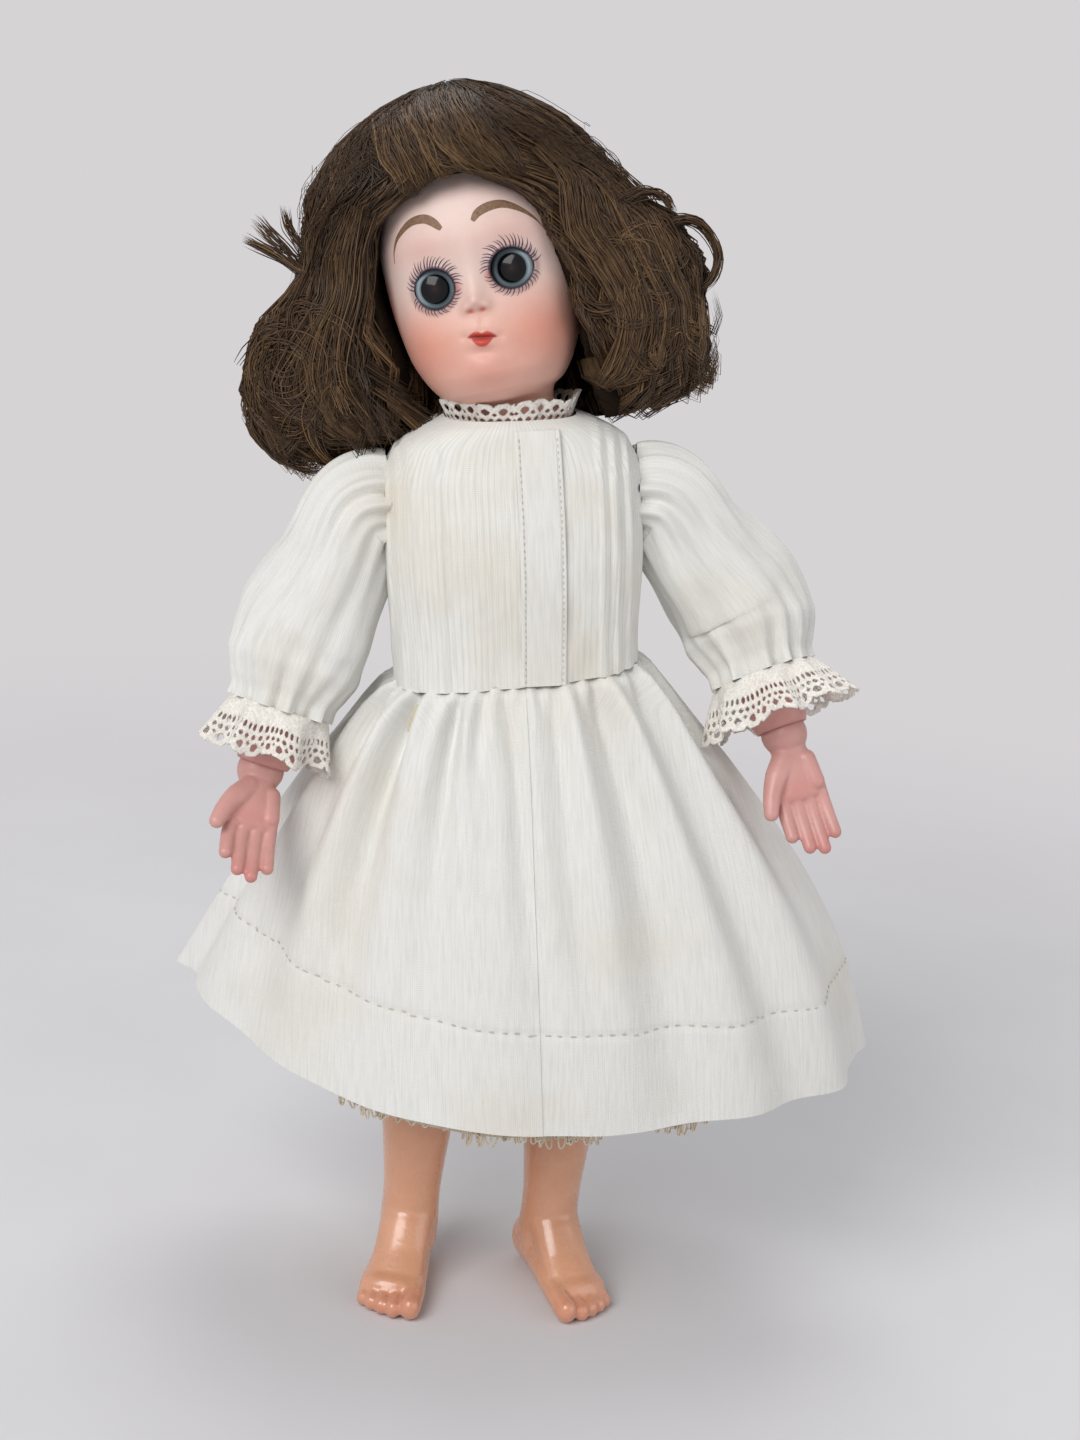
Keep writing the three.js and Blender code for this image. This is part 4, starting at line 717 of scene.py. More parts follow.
def falling_locks(rng, count, each, low, high, steps=18):
    """Strands that leave the crown, fall over the shell in waves, and roll under at their ends.

    The place of a lock round the head stays fixed while the hair beside the
    face is spread evenly. Waves move it sideways and in and out, in step
    with its neighbours. Past the last fifth a spiral takes over.
    """
    place = low + (high - low) * (np.arange(count) + rng.uniform(0.2, 0.8, count)) / count
    place = np.repeat(place, each)
    lock = np.repeat(np.arange(count), each)
    n = len(place)
    loose = rng.normal(0, 1, n)
    share = np.linspace(0, 1, steps)[None, :]
    gather = 1 - 0.55 * share
    spread = (high - low) / count * 0.9
    place_now = np.clip(place[:, None] + spread * loose[:, None] * gather, -0.9995, 0.9995)
    own_side = np.sign(place[:, None])
    place_now = np.where(np.sign(place_now) == own_side, place_now, 1e-3 * own_side)
    start = 83.95 - rng.uniform(0, 8, n) ** 1.4 * 0.35
    end = 7 + rng.uniform(-1, 1, count)[lock] * 5 + rng.normal(0, 1.2, n)
    end = end + 9 * (rng.uniform(0, 1, count)[lock] < 0.22)
    begin_roll = 0.80
    fall = np.clip(share / begin_roll, 0, 1)
    height = start[:, None] - (start - end)[:, None] * fall ** 1.7
    angle = hair_angle(place_now, height)
    proud = (rng.uniform(-1, 1, count) * 1.7)[lock] - 1.2 + rng.uniform(-1.6, 1.0, n)
    wave = 2 * math.pi * fall * 6.2 + 5.0 * np.sin(3.1 * place[:, None])
    wave = wave + rng.uniform(-0.5, 0.5, count)[lock][:, None]
    swing = (0.4 + 2.9 * fall) * np.sin(wave)
    body = 2.2 * fall * np.cos(wave + 0.7)
    points = hair_shell(height, angle, (proud[:, None] + body) * (0.35 + 0.65 * fall))
    side = np.stack([np.cos(angle), np.sin(angle), 0 * angle], -1)
    points = points + side * swing[..., None]
    roll = np.clip((share - begin_roll) / (1 - begin_roll), 0, 1)
    turns = (1.25 + rng.uniform(-0.2, 0.35, count)[lock])[:, None] * math.pi
    size = (6.5 + rng.uniform(-1.5, 2.2, count))[lock][:, None]
    way = np.where(rng.uniform(0, 1, count)[lock] < 0.14, -0.45, 1.0)[:, None]
    now = size * (1 - 0.5 * roll)
    outward = np.stack([np.sin(angle), -np.cos(angle), 0 * angle], -1)
    points = points + outward * (way * (now * np.cos(turns * roll) - size) * (roll > 0))[..., None]
    points[..., 2] -= now * np.sin(turns * roll) * (roll > 0)
    tone = 0.34 + 0.16 * rng.normal(0, 1, count)[lock] + 0.12 * rng.normal(0, 1, n)
    return points, rng.uniform(0.15, 0.24, n), np.clip(tone, 0.02, 0.9)


def swirl(middle, size, begin, turned, count, upright, inside, reach):
    """Places of a flat curl that tightens as it turns, held inside an ellipse of the hair's front."""
    places = []
    for i in range(count):
        a, now = begin + turned * i / (count - 1), size * (1 - 0.05 * i)
        x, z = middle[0] + now * math.cos(a), middle[1] + now * upright * math.sin(a)
        far = max(1, math.hypot((x - inside[0]) / reach[0], (z - inside[1]) / reach[1]))
        places.append((inside[0] + (x - inside[0]) / far, inside[1] + (z - inside[1]) / far))
    return places


def on_front(x, z, proud):
    """Places on the front of the hair at given x and z."""
    left, right, front, _ = np.moveaxis(read_rows(WIG_ROWS, z), -1, 0)
    share = np.clip(np.abs(x) / np.where(x > 0, left, right), 0, 0.985)
    return np.stack([x, -(front * (1 - share**WIG_POWER) ** (1 / WIG_POWER) + proud), z], -1)


def laid_locks(rng, guides, each, spread, steps, proud):
    """Strands on the front of the hair: each guide, a row of (x, z) places, is followed side by side."""
    made, sizes, tones = [], [], []
    for guide in guides:
        line = curve_through(guide, steps)
        along = unit(np.gradient(line, axis=0))
        across = np.stack([-along[:, 1], along[:, 0]], -1)
        share = np.linspace(0, 1, steps)
        off = rng.normal(0, 1, each)[:, None] * spread * (1 - 0.55 * share)[None, :]
        off = off + 0.45 * np.sin(share[None] * rng.uniform(9, 15) + rng.uniform(0, 6, (each, 1)))
        flat = line[None] + across[None] * off[..., None]
        out = rng.uniform(*proud, each)[:, None] + 0.8 * np.sin(math.pi * share)[None]
        made.append(on_front(flat[..., 0], flat[..., 1], out))
        sizes.append(rng.uniform(0.14, 0.22, each))
        tones.append(np.clip(0.38 + 0.14 * rng.normal() + 0.11 * rng.normal(0, 1, each), 0.02, 0.95))
    return np.concatenate(made), np.concatenate(sizes), np.concatenate(tones)


rng = np.random.default_rng(5)
HAIRS_IN_A_LOCK = 14
LOCKS = {  # places round the head between which the locks start, and how many
    "wig_locks_left": (0.003, 0.5, 95), "wig_locks_right": (-0.5, -0.003, 95),
    "wig_locks_back_left": (0.5, 0.997, 80), "wig_locks_back_right": (-0.997, -0.5, 80)}
for name, (low, high, count) in LOCKS.items():
    strand_bundle(name, *falling_locks(rng, count, HAIRS_IN_A_LOCK, low, high))

# The fringe: short locks from the crown, combed over the brow to the doll's left.
guides = []
for x in np.linspace(-15, 15, 22):
    start = x * 0.75 - 5 + rng.uniform(-1.5, 1.5)
    sweep = 7.5 + 0.25 * x
    tip = 59.4 + 1.4 * math.cos(x / 7) - 0.011 * x * x + rng.uniform(-1.4, 0.9) + (0.9 if x < 6 else 0)
    guides.append([(start, 81.0), (start + 0.15 * sweep, 76), (start + 0.45 * sweep + rng.uniform(-1, 1), 69),
                   (start + 0.8 * sweep, 63.5), (x + 3.0, tip)])
strand_bundle("wig_fringe", *laid_locks(rng, guides, 42, 1.35, 16, (-1.6, 0.9)))

# Rolled curls at the doll's right and waves at its left, as they were set.
guides = []
for _ in range(46):
    middle = rng.uniform(-56, -35), rng.uniform(3, 33)
    size, begin = rng.uniform(6, 14), rng.uniform(0.3, 2.6)
    turned = rng.uniform(2.2, 4.4) * (1 if rng.uniform() < 0.75 else -1)
    guides.append(swirl(middle, size, begin, turned, 9, 1.15, (-47, 16.5), (18.5, 20.5)))
for shift in np.linspace(-1, 1, 16):
    lean = rng.uniform(-1.2, 1.2)
    guides.append([(-24 + 3 * shift, 57), (-31 + 5 * shift, 48 + lean), (-34 + 5 * shift, 38),
                   (-41 + 8 * shift, 29 + lean), (-46 + 11 * shift, 18), (-42 + 9 * shift, 8 - lean),
                   (-36 + 7 * shift, 2), (-31 + 5 * shift, 9)])
strand_bundle("wig_rolled_curls_right", *laid_locks(rng, guides, 24, 1.5, 20, (-2.2, 1.6)))
guides = []
for shift in np.linspace(-1, 1, 24):
    lean = rng.uniform(-1, 1)
    guides.append([(26 + 5 * shift, 63 - 2 * shift), (33 + 7 * shift, 53 - 3 * shift + lean),
                   (35 + 10 * shift, 43 + lean), (39 + 10 * shift, 32 - 4 * shift),
                   (42 + 9 * shift, 20 - 2 * lean), (37 + 10 * shift, 8 + lean),
                   (31 + 8 * shift, 4 + 2 * abs(shift)), (28 + 6 * shift, 12)])
for _ in range(18):
    middle, size = (rng.uniform(31, 46), rng.uniform(7, 40)), rng.uniform(5, 9)
    begin, turned = rng.uniform(-1, 3), rng.uniform(2.2, 3.8) * rng.choice([-1, 1])
    guides.append(swirl(middle, size, begin, turned, 8, 1.1, (38, 23), (14.5, 21.5)))
paths, sizes, tones = laid_locks(rng, guides, 26, 1.4, 20, (-2.0, 1.6))
strand_bundle("wig_waves_left", paths, sizes, np.clip(tones + 0.12, 0, 1))


LOOSE_STEPS = 18


def free_lock(rng, guide, each, spread, flare, size):
    """A loose lock: strands about one guide in space, apart at the root and spread again at the tip."""
    line = curve_through(guide, LOOSE_STEPS)
    share = np.linspace(0, 1, LOOSE_STEPS)
    off = rng.normal(0, 1, (each, 1, 3)) * (spread * (1 - share) + flare * share**2)[None, :, None]
    curl = 0.3 * np.sin(share[None, :, None] * 9 + rng.uniform(0, 6, (each, 1, 3)))
    sizes = rng.uniform(0.7, 1.2, each) * size
    return line[None] + off + curl, sizes, np.clip(0.35 + 0.12 * rng.normal(0, 1, each), 0, 1)


LOOSE_LOCKS = [  # guide, strands, spread at the root and at the tip, radius
    ([(-38, -6, 44), (-44, -5, 46), (-50, -4, 51.5), (-57, -3, 56.5)], 46, 1.0, 1.0, 0.17),
    ([(-38, -6, 43), (-44, -5, 47), (-49, -4, 54), (-53.5, -3, 60.5)], 30, 0.9, 0.9, 0.16),
    ([(-39, -5, 46), (-43, -4, 51), (-45.5, -3, 57), (-46, -3, 62)], 22, 0.9, 0.8, 0.15),
    ([(44, -6, 36), (50, -5, 40.5), (56, -4, 38.5), (59, -3, 31.5), (57, -3, 25.5), (52.5, -3, 22.5)],
     44, 0.8, 0.6, 0.17),
    ([(38, -12, 48), (44, -10, 49), (48, -8, 47.0), (50, -7, 43)], 40, 0.9, 0.5, 0.17)]
locks = [free_lock(rng, *one) for one in LOOSE_LOCKS]
wisps = []
for _ in range(46):
    swing = rng.choice([-1, 1]) * rng.uniform(0.75, 1.9)
    top = rng.uniform(70, 83)
    drift = math.copysign(rng.uniform(0.05, 0.3), swing)
    lift = rng.uniform(1.0, 4.2)
    places = []
    for w in np.linspace(0, 1, 6):
        height = np.array(top - 34 * w * rng.uniform(0.4, 1.0))
        angle = np.array(math.copysign(0.35, swing) + swing * w + drift * w * w)
        places.append(hair_shell(height, angle, lift * math.sin(math.pi * min(1, w * 0.8 + 0.1))))
    wisps.append(curve_through(places, LOOSE_STEPS))
locks.append((np.array(wisps), np.full(len(wisps), 0.075), np.full(len(wisps), 0.3)))
strand_bundle("wig_loose_ends", *(np.concatenate(column) for column in zip(*locks)))


# Bodice: the top of the dress, white cotton with a woven stripe, fitted on the
# torso and sewn with three narrow tucks beside each armhole.
TORSO_ROWS = np.array([  # height above the hip joints, half-width, depth in front, depth behind
    [16, 30.5, 22, 20.5], [28, 30, 22.5, 18.5], [38, 30, 22.5, 17], [66, 31.2, 24, 20], [78, 31.5, 23, 20.5],
    [88, 31.5, 21, 19], [97.3, 28, 18.5, 17.5], [102.3, 20, 17, 16.5], [104.4, 14.2, 13.8, 13.6]])
DRESS_POWER = 2.9
DRESS_EASE = 2.0  # how far the dress lies outside the torso
WAIST = 37.5
WAIST_SLOPE = math.tan(math.radians(3.5))
BODICE_TOP = 104.2
ARMHOLE_PLACE, ARMHOLE_RADIUS = np.array([38, 0, 81.0]), 12.6
TUCKS = {1: (19.8, 23.6, 27.4), -1: (-26.2, -29.4, -32.0)}  # their places on the doll's left and right
TUCK_DEPTH, TUCK_WIDTH = 1.25, 3.0
PANEL_EDGE = 19.2


WAVE_SCALE = 0.3142  # scale of Blender's wave texture that gives one wave for each unit


def weave_finish(name, base, shadow, stain, stripe=None, thread=0.5, stain_share=0.4):
    """Plain-woven cotton: crossing threads in the bump, slubs and soft stains in the colour."""
    made = Finish(name, roughness=0.88, Sheen_Weight=0.12, Sheen_Roughness=0.5)
    uv = made.node("ShaderNodeUVMap", uv_map="surface").outputs[0]
    slub = made.node("ShaderNodeMapping")
    slub.inputs["Scale"].default_value = (1.0, 0.06, 1.0)
    made.link(uv, slub.inputs["Vector"])
    grain = made.noise(1.6, 3, slub.outputs[0])
    colour = made.ramp(grain, [(0.25, ink(*shadow)), (0.6, ink(*base))])
    if stripe:
        bands = made.node("ShaderNodeTexWave", Scale=WAVE_SCALE / stripe, Distortion=0.25, Detail=1.0)
        made.link(uv, bands.inputs["Vector"])
        lines = made.ramp(bands.outputs["Fac"], [(0.0, (0.915, 0.915, 0.905, 1)), (0.4, (1, 1, 1, 1))])
        colour = made.mix(1.0, colour, lines, "MULTIPLY")
    cloud = made.ramp(made.noise(28, 4), [(0.52, (0, 0, 0, 1)), (0.74, (1, 1, 1, 1))])
    colour = made.mix(made.math("MULTIPLY", cloud, stain_share), colour, ink(*stain))
    warp, weft = [made.node("ShaderNodeTexWave", Scale=WAVE_SCALE / thread, Distortion=0.8, Detail=1.0,
                            bands_direction=way) for way in "XY"]
    for one in (warp, weft):
        made.link(uv, one.inputs["Vector"])
    threads = made.math("ADD", warp.outputs["Fac"], weft.outputs["Fac"])
    return made.colour(colour).bump(threads, 0.00005, 0.6)


striped_cotton = weave_finish("striped_cotton", (230, 229, 223), (218, 217, 211), (208, 190, 160),
                              stripe=1.35)

columns, rows = 300, 110
angle = np.linspace(-math.pi, math.pi, columns, endpoint=False)[None, :]
rise = np.linspace(0, 1, rows)[:, None]
seam_x, _ = rounded(TORSO_ROWS, np.full_like(angle, WAIST), angle, DRESS_POWER, DRESS_EASE)
low = WAIST + 0.4 + seam_x * WAIST_SLOPE
height = low + (BODICE_TOP - low) * rise
x, y = rounded(TORSO_ROWS, height, angle, DRESS_POWER, DRESS_EASE)
fronted = soft_step(np.cos(angle), 0.02, 0.2)
fold = np.zeros_like(x)
for side, places in TUCKS.items():
    for at in places:
        over = side * (x - at)
        fold += TUCK_DEPTH * soft_step(over, -0.25, 0.1) * (1 - np.clip(over / TUCK_WIDTH, 0, 1))
over = -(x + PANEL_EDGE)
panel = 0.9 * soft_step(over, -0.15, 0.15) * (1 - np.clip(over / 6, 0, 1))
ripple = 0.35 * np.sin(0.55 * x + 3 * np.sin(height / 17)) * np.exp(-((height - low) / 9) ** 2)
ripple += 0.3 * np.sin(height / 6.5 + x / 9) * soft_step(np.abs(x), 14, 30)
out = (fold + panel) * fronted + ripple
outward = np.stack([np.sin(angle) + 0 * x, -np.cos(angle) + 0 * x], -1)
x, y = x + out * outward[..., 0] * 0.6, y + out * outward[..., 1]
points = np.stack([x, y, height], -1)
armhole = np.linalg.norm(np.abs(points) - ARMHOLE_PLACE, axis=-1) < ARMHOLE_RADIUS
quads = grid_faces(rows, columns, around=True)
uv = np.stack([angle * 29 + 0 * height, height], -1)
bodice = mesh_object("striped_bodice", carry(TORSO_FRAME, points.reshape(-1, 3)),
                     quads[~armhole.ravel()[quads].any(1)], striped_cotton, uv=uv)
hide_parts("bodice")
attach(bodice, "torso")

# Placket: a flat band of plain cotton stitched down the front, its two edges
# folded under, with a fine tuck beside each edge.
plain_cotton = weave_finish("plain_white_cotton", (228, 227, 222), (215, 215, 210), (210, 196, 172),
                            stain_share=0.3)
PLACKET_X, PLACKET_WIDTH, PLACKET_TOP = 4.9, 11.6, 102.2
STITCH_PITCH, STITCH_LENGTH = 1.7, 1.0


def thread_mesh(name, paths, radius, finish):
    """Threads: many short tubes in one mesh, five-sided and square to their paths."""
    n, m, _ = paths.shape
    along = unit(np.gradient(paths, axis=1), 1e-9)
    steady = np.where(np.abs(along[..., 1:2]) < 0.8, np.array([0, 1.0, 0]), np.array([1.0, 0, 0]))
    across = unit(np.cross(along, steady), 1e-9)
    other = np.cross(along, across)
    corners = 5
    a = np.linspace(0, 2 * math.pi, corners, endpoint=False)[:, None]
    size = np.full(m, radius)
    size[[0, -1]] = radius * 0.05
    outward = np.cos(a) * across[:, :, None] + np.sin(a) * other[:, :, None]
    points = paths[:, :, None] + size[None, :, None, None] * outward
    faces = repeated(grid_faces(m, corners, around=True)[:, ::-1], n, m * corners)
    return mesh_object(name, points.reshape(-1, 3), faces, finish)


sewing_thread = Finish("sewing_thread", roughness=0.8)
sewing_thread.colour(sewing_thread.patches(900, 2, (186, 178, 162), (206, 200, 188)))
columns, rows = 60, 90
across, rise = np.meshgrid(np.linspace(-0.5, 0.5, columns), np.linspace(0, 1, rows))
x = PLACKET_X + across * PLACKET_WIDTH + 0.35 * np.sin(rise * 3.1)
height = WAIST + 0.8 + rise * (PLACKET_TOP - WAIST - 0.8)
width, deep, _ = np.moveaxis(read_rows(TORSO_ROWS, height), -1, 0)
share = np.clip(np.abs(x) / (width + DRESS_EASE), 0, 0.99)
surface = (deep + DRESS_EASE) * (1 - share ** DRESS_POWER) ** (1 / DRESS_POWER)
edge = 0.5 - np.abs(across)
lift = 0.15 + 1.15 * soft_step(edge, 0, 0.02) - 0.3 * np.exp(-((edge - 0.1) / 0.016) ** 2)
lift = lift + 0.12 * np.sin(rise * 21 + 3 * across)
points = np.stack([x, -surface - lift, height], -1)
placket = mesh_object("front_placket", carry(TORSO_FRAME, points.reshape(-1, 3)), grid_faces(rows, columns),
                      plain_cotton, uv=np.stack([x, height], -1))
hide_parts("placket")
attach(placket, "torso")
rng = np.random.default_rng(41)
seams = []
for column in (5, 54):
    line = carry(TORSO_FRAME, points[:, column] + np.array([0, -0.12, 0]))
    begin = np.arange(0.8, lengths_along(line)[-1] - 2, STITCH_PITCH)[:, None]
    begin = begin + rng.uniform(-0.12, 0.12, begin.shape)
    seams.append(places_along(line, begin + np.linspace(0, STITCH_LENGTH, 4)))
placket_seams = thread_mesh("placket_stitches", np.concatenate(seams), 0.13, sewing_thread)
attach(placket_seams, "torso")

# Lace collar: cotton eyelet edging, its holes and scallops bound in thread. It
# stands up round the neck, and a deeper ruffle of it ends each sleeve.
COLLAR_DEPTH, COLLAR_RADIUS, COLLAR_FOOT = 7.4, 15.8, 102.2
lace_thread = Finish("lace_thread", roughness=0.85, Sheen_Weight=0.2)
lace_thread.colour(lace_thread.patches(1500, 3, (214, 208, 198), (242, 238, 230), high=0.65))
lace_thread.bump(lace_thread.noise(4200, 2), 0.00012)


def lace_holes(along, up, depth, pitch):
    """True where lace has cloth: a scalloped edge, three kinds of eyelet in each scallop, a row of slots."""
    phase = (along / pitch) % 1.0 - 0.5
    edge = depth - 1.5 + 1.5 * np.sqrt(np.clip(1 - (2 * phase) ** 2 * 0.98, 0, 1))
    solid = up < edge
    solid &= np.hypot(phase * pitch, up - depth + 2.5) > 0.95
    for shift in (0.25, 0.75):
        near = ((along / pitch + shift) % 1.0 - 0.5) * pitch
        solid &= np.hypot(near, up - depth + 5.0) > 0.62
    wide = ((along / pitch + 0.5) % 1.0 - 0.5) * pitch
    solid &= np.hypot(wide, up - depth + 3.3) > 0.5
    if depth > 9:
        slot = ((along / 1.9) % 1.0 - 0.5) * 1.9
        solid &= ~((np.abs(slot) < 0.42) & (np.abs(up - depth + 7.6) < 0.75))
    return solid


def lace_band(name, points, along, up, depth, pitch, thick):
    """A band of lace: a grid of points with the cells in its holes left out, given a thread's thickness."""
    rows, columns = along.shape
    quads = grid_faces(rows, columns, around=True)
    solid = lace_holes(along, up, depth, pitch).ravel()
    kept = quads[solid[quads].sum(1) >= 3]
    band = mesh_object(name, points, kept, lace_thread)
    thicken = band.modifiers.new("thread", "SOLIDIFY")
    thicken.thickness = thick / 1000
    thicken.offset = 0
    return band


columns, rows = 420, 34
angle = np.linspace(0, 2 * math.pi, columns, endpoint=False)[None, :]
rise = np.linspace(0, 1, rows)[:, None]
wave = np.sin(9 * angle + 0.8 * np.sin(3 * angle)) + 0.45 * np.sin(23 * angle + 1)
radius = 15.4 + 2.0 * rise**1.4 + (0.25 + 0.9 * rise) * wave * 0.55
height = COLLAR_FOOT + 6.9 * rise + 0.5 * np.sin(5 * angle) * rise
points = np.stack([radius * np.sin(angle) * 1.03, -radius * np.cos(angle), height + 0 * angle], -1)
collar = lace_band("lace_collar", carry(TORSO_FRAME, points.reshape(-1, 3)), COLLAR_RADIUS * angle + 0 * rise,
                   COLLAR_DEPTH * rise + 0 * angle, COLLAR_DEPTH, 4.1, 0.45)
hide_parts("collar_lace")
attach(collar, "torso")

# Sleeves: long full sleeves of plain cotton, gathered into the armhole and
# into a narrow cuff, from where the lace ruffle falls over the wrist.
SLEEVE_RADIUS = np.array([  # share of the way from armhole to cuff, radius
    [0, 12.2], [0.08, 13.6], [0.25, 14.4], [0.45, 16], [0.65, 18], [0.8, 17.8], [0.9, 15.2], [0.96, 13.2],
    [1, 13]])
IN_BODICE = 1.2  # how far outside the torso a sleeve's face is still hidden in the bodice and left out
SLEEVE_BEGIN = 0.02  # share of the arm's path at which the sleeve begins
UPPER_ARM = 39
CUFF_PLACE, CUFF_FALL = 19.0, 13.0  # how far below the elbow the cuff lies, and how far its ruffle falls
CUFF_DEPTH = 13.4
ARM_STEPS = 400


def arm_frames(side):
    """Matrices of the upper arm and the forearm of one side."""
    names = "shoulder_swing", "elbow_bend", "wrist_bend"
    shoulder, elbow, wrist = [spot(f"{name}_{side}") for name in names]
    across = -axis(f"elbow_bend_{side}")
    return frame_at(shoulder, across, unit(shoulder - elbow)), frame_at(elbow, across, unit(elbow - wrist))


def tube_frames(path):
    """Unit tangent and two unit normals along an evenly parted path, the first normal nearest to Y."""
    along = unit(np.gradient(path, axis=0))
    across = unit(np.array([0, 1, 0]) - along * along[:, 1:2])
    return along, across, np.cross(along, across)


def round_path(tables, share, radius, angle):
    """Places at a radius and an angle about a path, given its rows of places and of two normals."""
    at = share * (ARM_STEPS - 1)
    place, across, other = [np.stack([np.interp(at, np.arange(ARM_STEPS), table[:, i]) for i in range(3)], -1)
                            for table in tables]
    outward = np.cos(angle)[..., None] * across[:, None] + np.sin(angle)[..., None] * other[:, None]
    return place[:, None] + radius[..., None] * outward


def gathers(angle, share, seed):
    """Soft folds of a gathered tube: waves round it, sharp at both gathered ends, that drift along it."""
    end = np.abs(2 * share - 1)
    out = (0.25 + 1.05 * end**3) * np.sin(11 * angle + 2.2 * share + seed + 0.8 * np.sin(2 * angle + seed))
    out += (0.2 + 0.6 * end**2) * np.sin(17 * angle - 3 * share + 2 * seed)
    out += 0.9 * np.sin(3 * angle + 4 * share + seed) * np.sin(math.pi * share)
    out += 0.7 * np.sin(5 * angle - 6 * share + 3 * seed) * np.sin(math.pi * share) ** 0.6
    return out


for side, sign in (("left", 1), ("right", -1)):
    upper_frame, fore_frame = arm_frames(side)
    inner = carry(TORSO_FRAME, np.array([[sign * 30, 0, 82.0], [sign * 39, 0, 80.0]]))
    down = carry(upper_frame, np.array([[0, 0, -UPPER_ARM * 0.45], [0, 0, -UPPER_ARM * 0.98]]))
    cuff = carry(fore_frame, np.array([[0, 0, -CUFF_PLACE], [0, 0, -CUFF_PLACE - CUFF_FALL]]))
    path = curve_through(np.concatenate([inner, down, cuff]), ARM_STEPS)
    length = np.linalg.norm(np.diff(path, axis=0), axis=1).sum()
    cuff_at = 1 - CUFF_FALL / length
    sleeve_reach = cuff_at - SLEEVE_BEGIN
    along, across, other = tube_frames(path)
    tables = path, across, other
    seed = 1.3 if sign > 0 else 4.1
    columns = 170
    angle = np.linspace(0, 2 * math.pi, columns, endpoint=False)[None, :]
    pieces = ((0.0, 0.16, "torso", f"shoulder_{side}", "head"),
              (0.16, 0.34, f"shoulder_{side}", f"upper_arm_{side}", "top"),
              (0.34, 1.0, f"upper_arm_{side}", f"elbow_{side}", "arm"))
    for start, end, before, after, word in pieces:
        rows = max(12, int(150 * (end - start)))
        share = np.linspace(start, end, rows)
        radius = read_rows(SLEEVE_RADIUS, share)[..., 0][:, None] + gathers(angle, share[:, None], seed)
        points = round_path(tables, SLEEVE_BEGIN + sleeve_reach * share, radius, angle)
        uv = np.stack([angle * 16 + 0 * radius, share[:, None] * length + 0 * radius], -1)
        faces = grid_faces(rows, columns, around=True)
        if word == "head":
            local = (points - TORSO_FRAME[:3, 3]) @ TORSO_FRAME[:3, :3]
            width, deep, behind = np.moveaxis(read_rows(TORSO_ROWS, local[..., 2]), -1, 0)
            depth = np.where(local[..., 1] < 0, deep, behind)
            reach = [(np.abs(local[..., i]) / (half + IN_BODICE)) ** DRESS_POWER
                     for i, half in enumerate((width, depth))]
            faces = faces[~(reach[0] + reach[1] < 1).ravel()[faces].all(1)]
        sleeve = mesh_object(f"sleeve_{word}_{side}", points.reshape(-1, 3), faces, plain_cotton, uv=uv)
        if word == "head":
            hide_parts(f"sleeve_{side}")
        begin, end = [path[int((SLEEVE_BEGIN + sleeve_reach * at) * (ARM_STEPS - 1))] for at in (start, end)]
        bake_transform(sleeve)

    columns, rows = 520, 44
    angle = np.linspace(0, 2 * math.pi, columns, endpoint=False)[None, :]
    rise = np.linspace(0, 1, rows)[:, None]
    flare = 6.5 if sign > 0 else 3.0
    phase = 8 * angle + 0.9 * np.sin(2 * angle + seed) + seed
    radius = 12.8 + flare * rise**0.8 + (0.35 + 2.6 * rise) * np.sin(phase) + 0.5 * rise * np.sin(19 * angle)
    points = round_path(tables, cuff_at + (1 - cuff_at) * rise[:, 0], radius, angle)
    points = points + (1.15 * rise * np.cos(phase))[..., None] * along[-1]
    run = np.cumsum(np.linalg.norm(np.diff(points[-8], axis=0, prepend=points[-8][:1]), axis=-1))[None, :]
    ruffle = lace_band(f"cuff_ruffle_{side}", points.reshape(-1, 3), run + 0 * rise,
                       CUFF_DEPTH * rise + 0 * angle, CUFF_DEPTH, 4.3, 0.5)
    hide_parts(f"cuff_lace_{side}")
    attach(ruffle, f"forearm_{side}")

# Forearms and hands: pressed and turned composition, painted a dusky pink.
# The hand is one casting with its wrist ball, which sits in the forearm's cup.
def composition(name, dark, light, rosy, roughness, **sockets):
    """Oil paint over composition: cloudy tone, rosier where the attribute asks, with small rubs."""
    made = Finish(name, roughness=roughness, **sockets)
    tone = made.mix(made.attribute("rosy"), made.patches(90, 5, dark, light), ink(*rosy))
    rubs = made.ramp(made.noise(640, 5, roughness=0.7), [(0.66, (0, 0, 0, 1)), (0.76, (1, 1, 1, 1))])
    tone = made.mix(made.math("MULTIPLY", rubs, 0.3), tone, ink(*(round(0.72 * c) for c in dark)))
    made.rough(made.fade(made.noise(130, 4), 0, 1, roughness - 0.07, roughness + 0.12))
    return made.colour(tone).bump(made.noise(750, 4), 0.00008)


hand_paint = composition("dusky_pink_paint", (196, 142, 134), (208, 155, 147), (200, 124, 118), 0.4,
                         Coat_Weight=0.12, Coat_Roughness=0.3)


WRIST_BALL = 6.2
HAND_LENGTH = 34
FINGER_LENGTHS = (0.86, 0.97, 1.0, 0.9)
PALM = {"left": (5.3, 60), "right": (35.3, 0)}  # bend of the wrist and turn of the palm


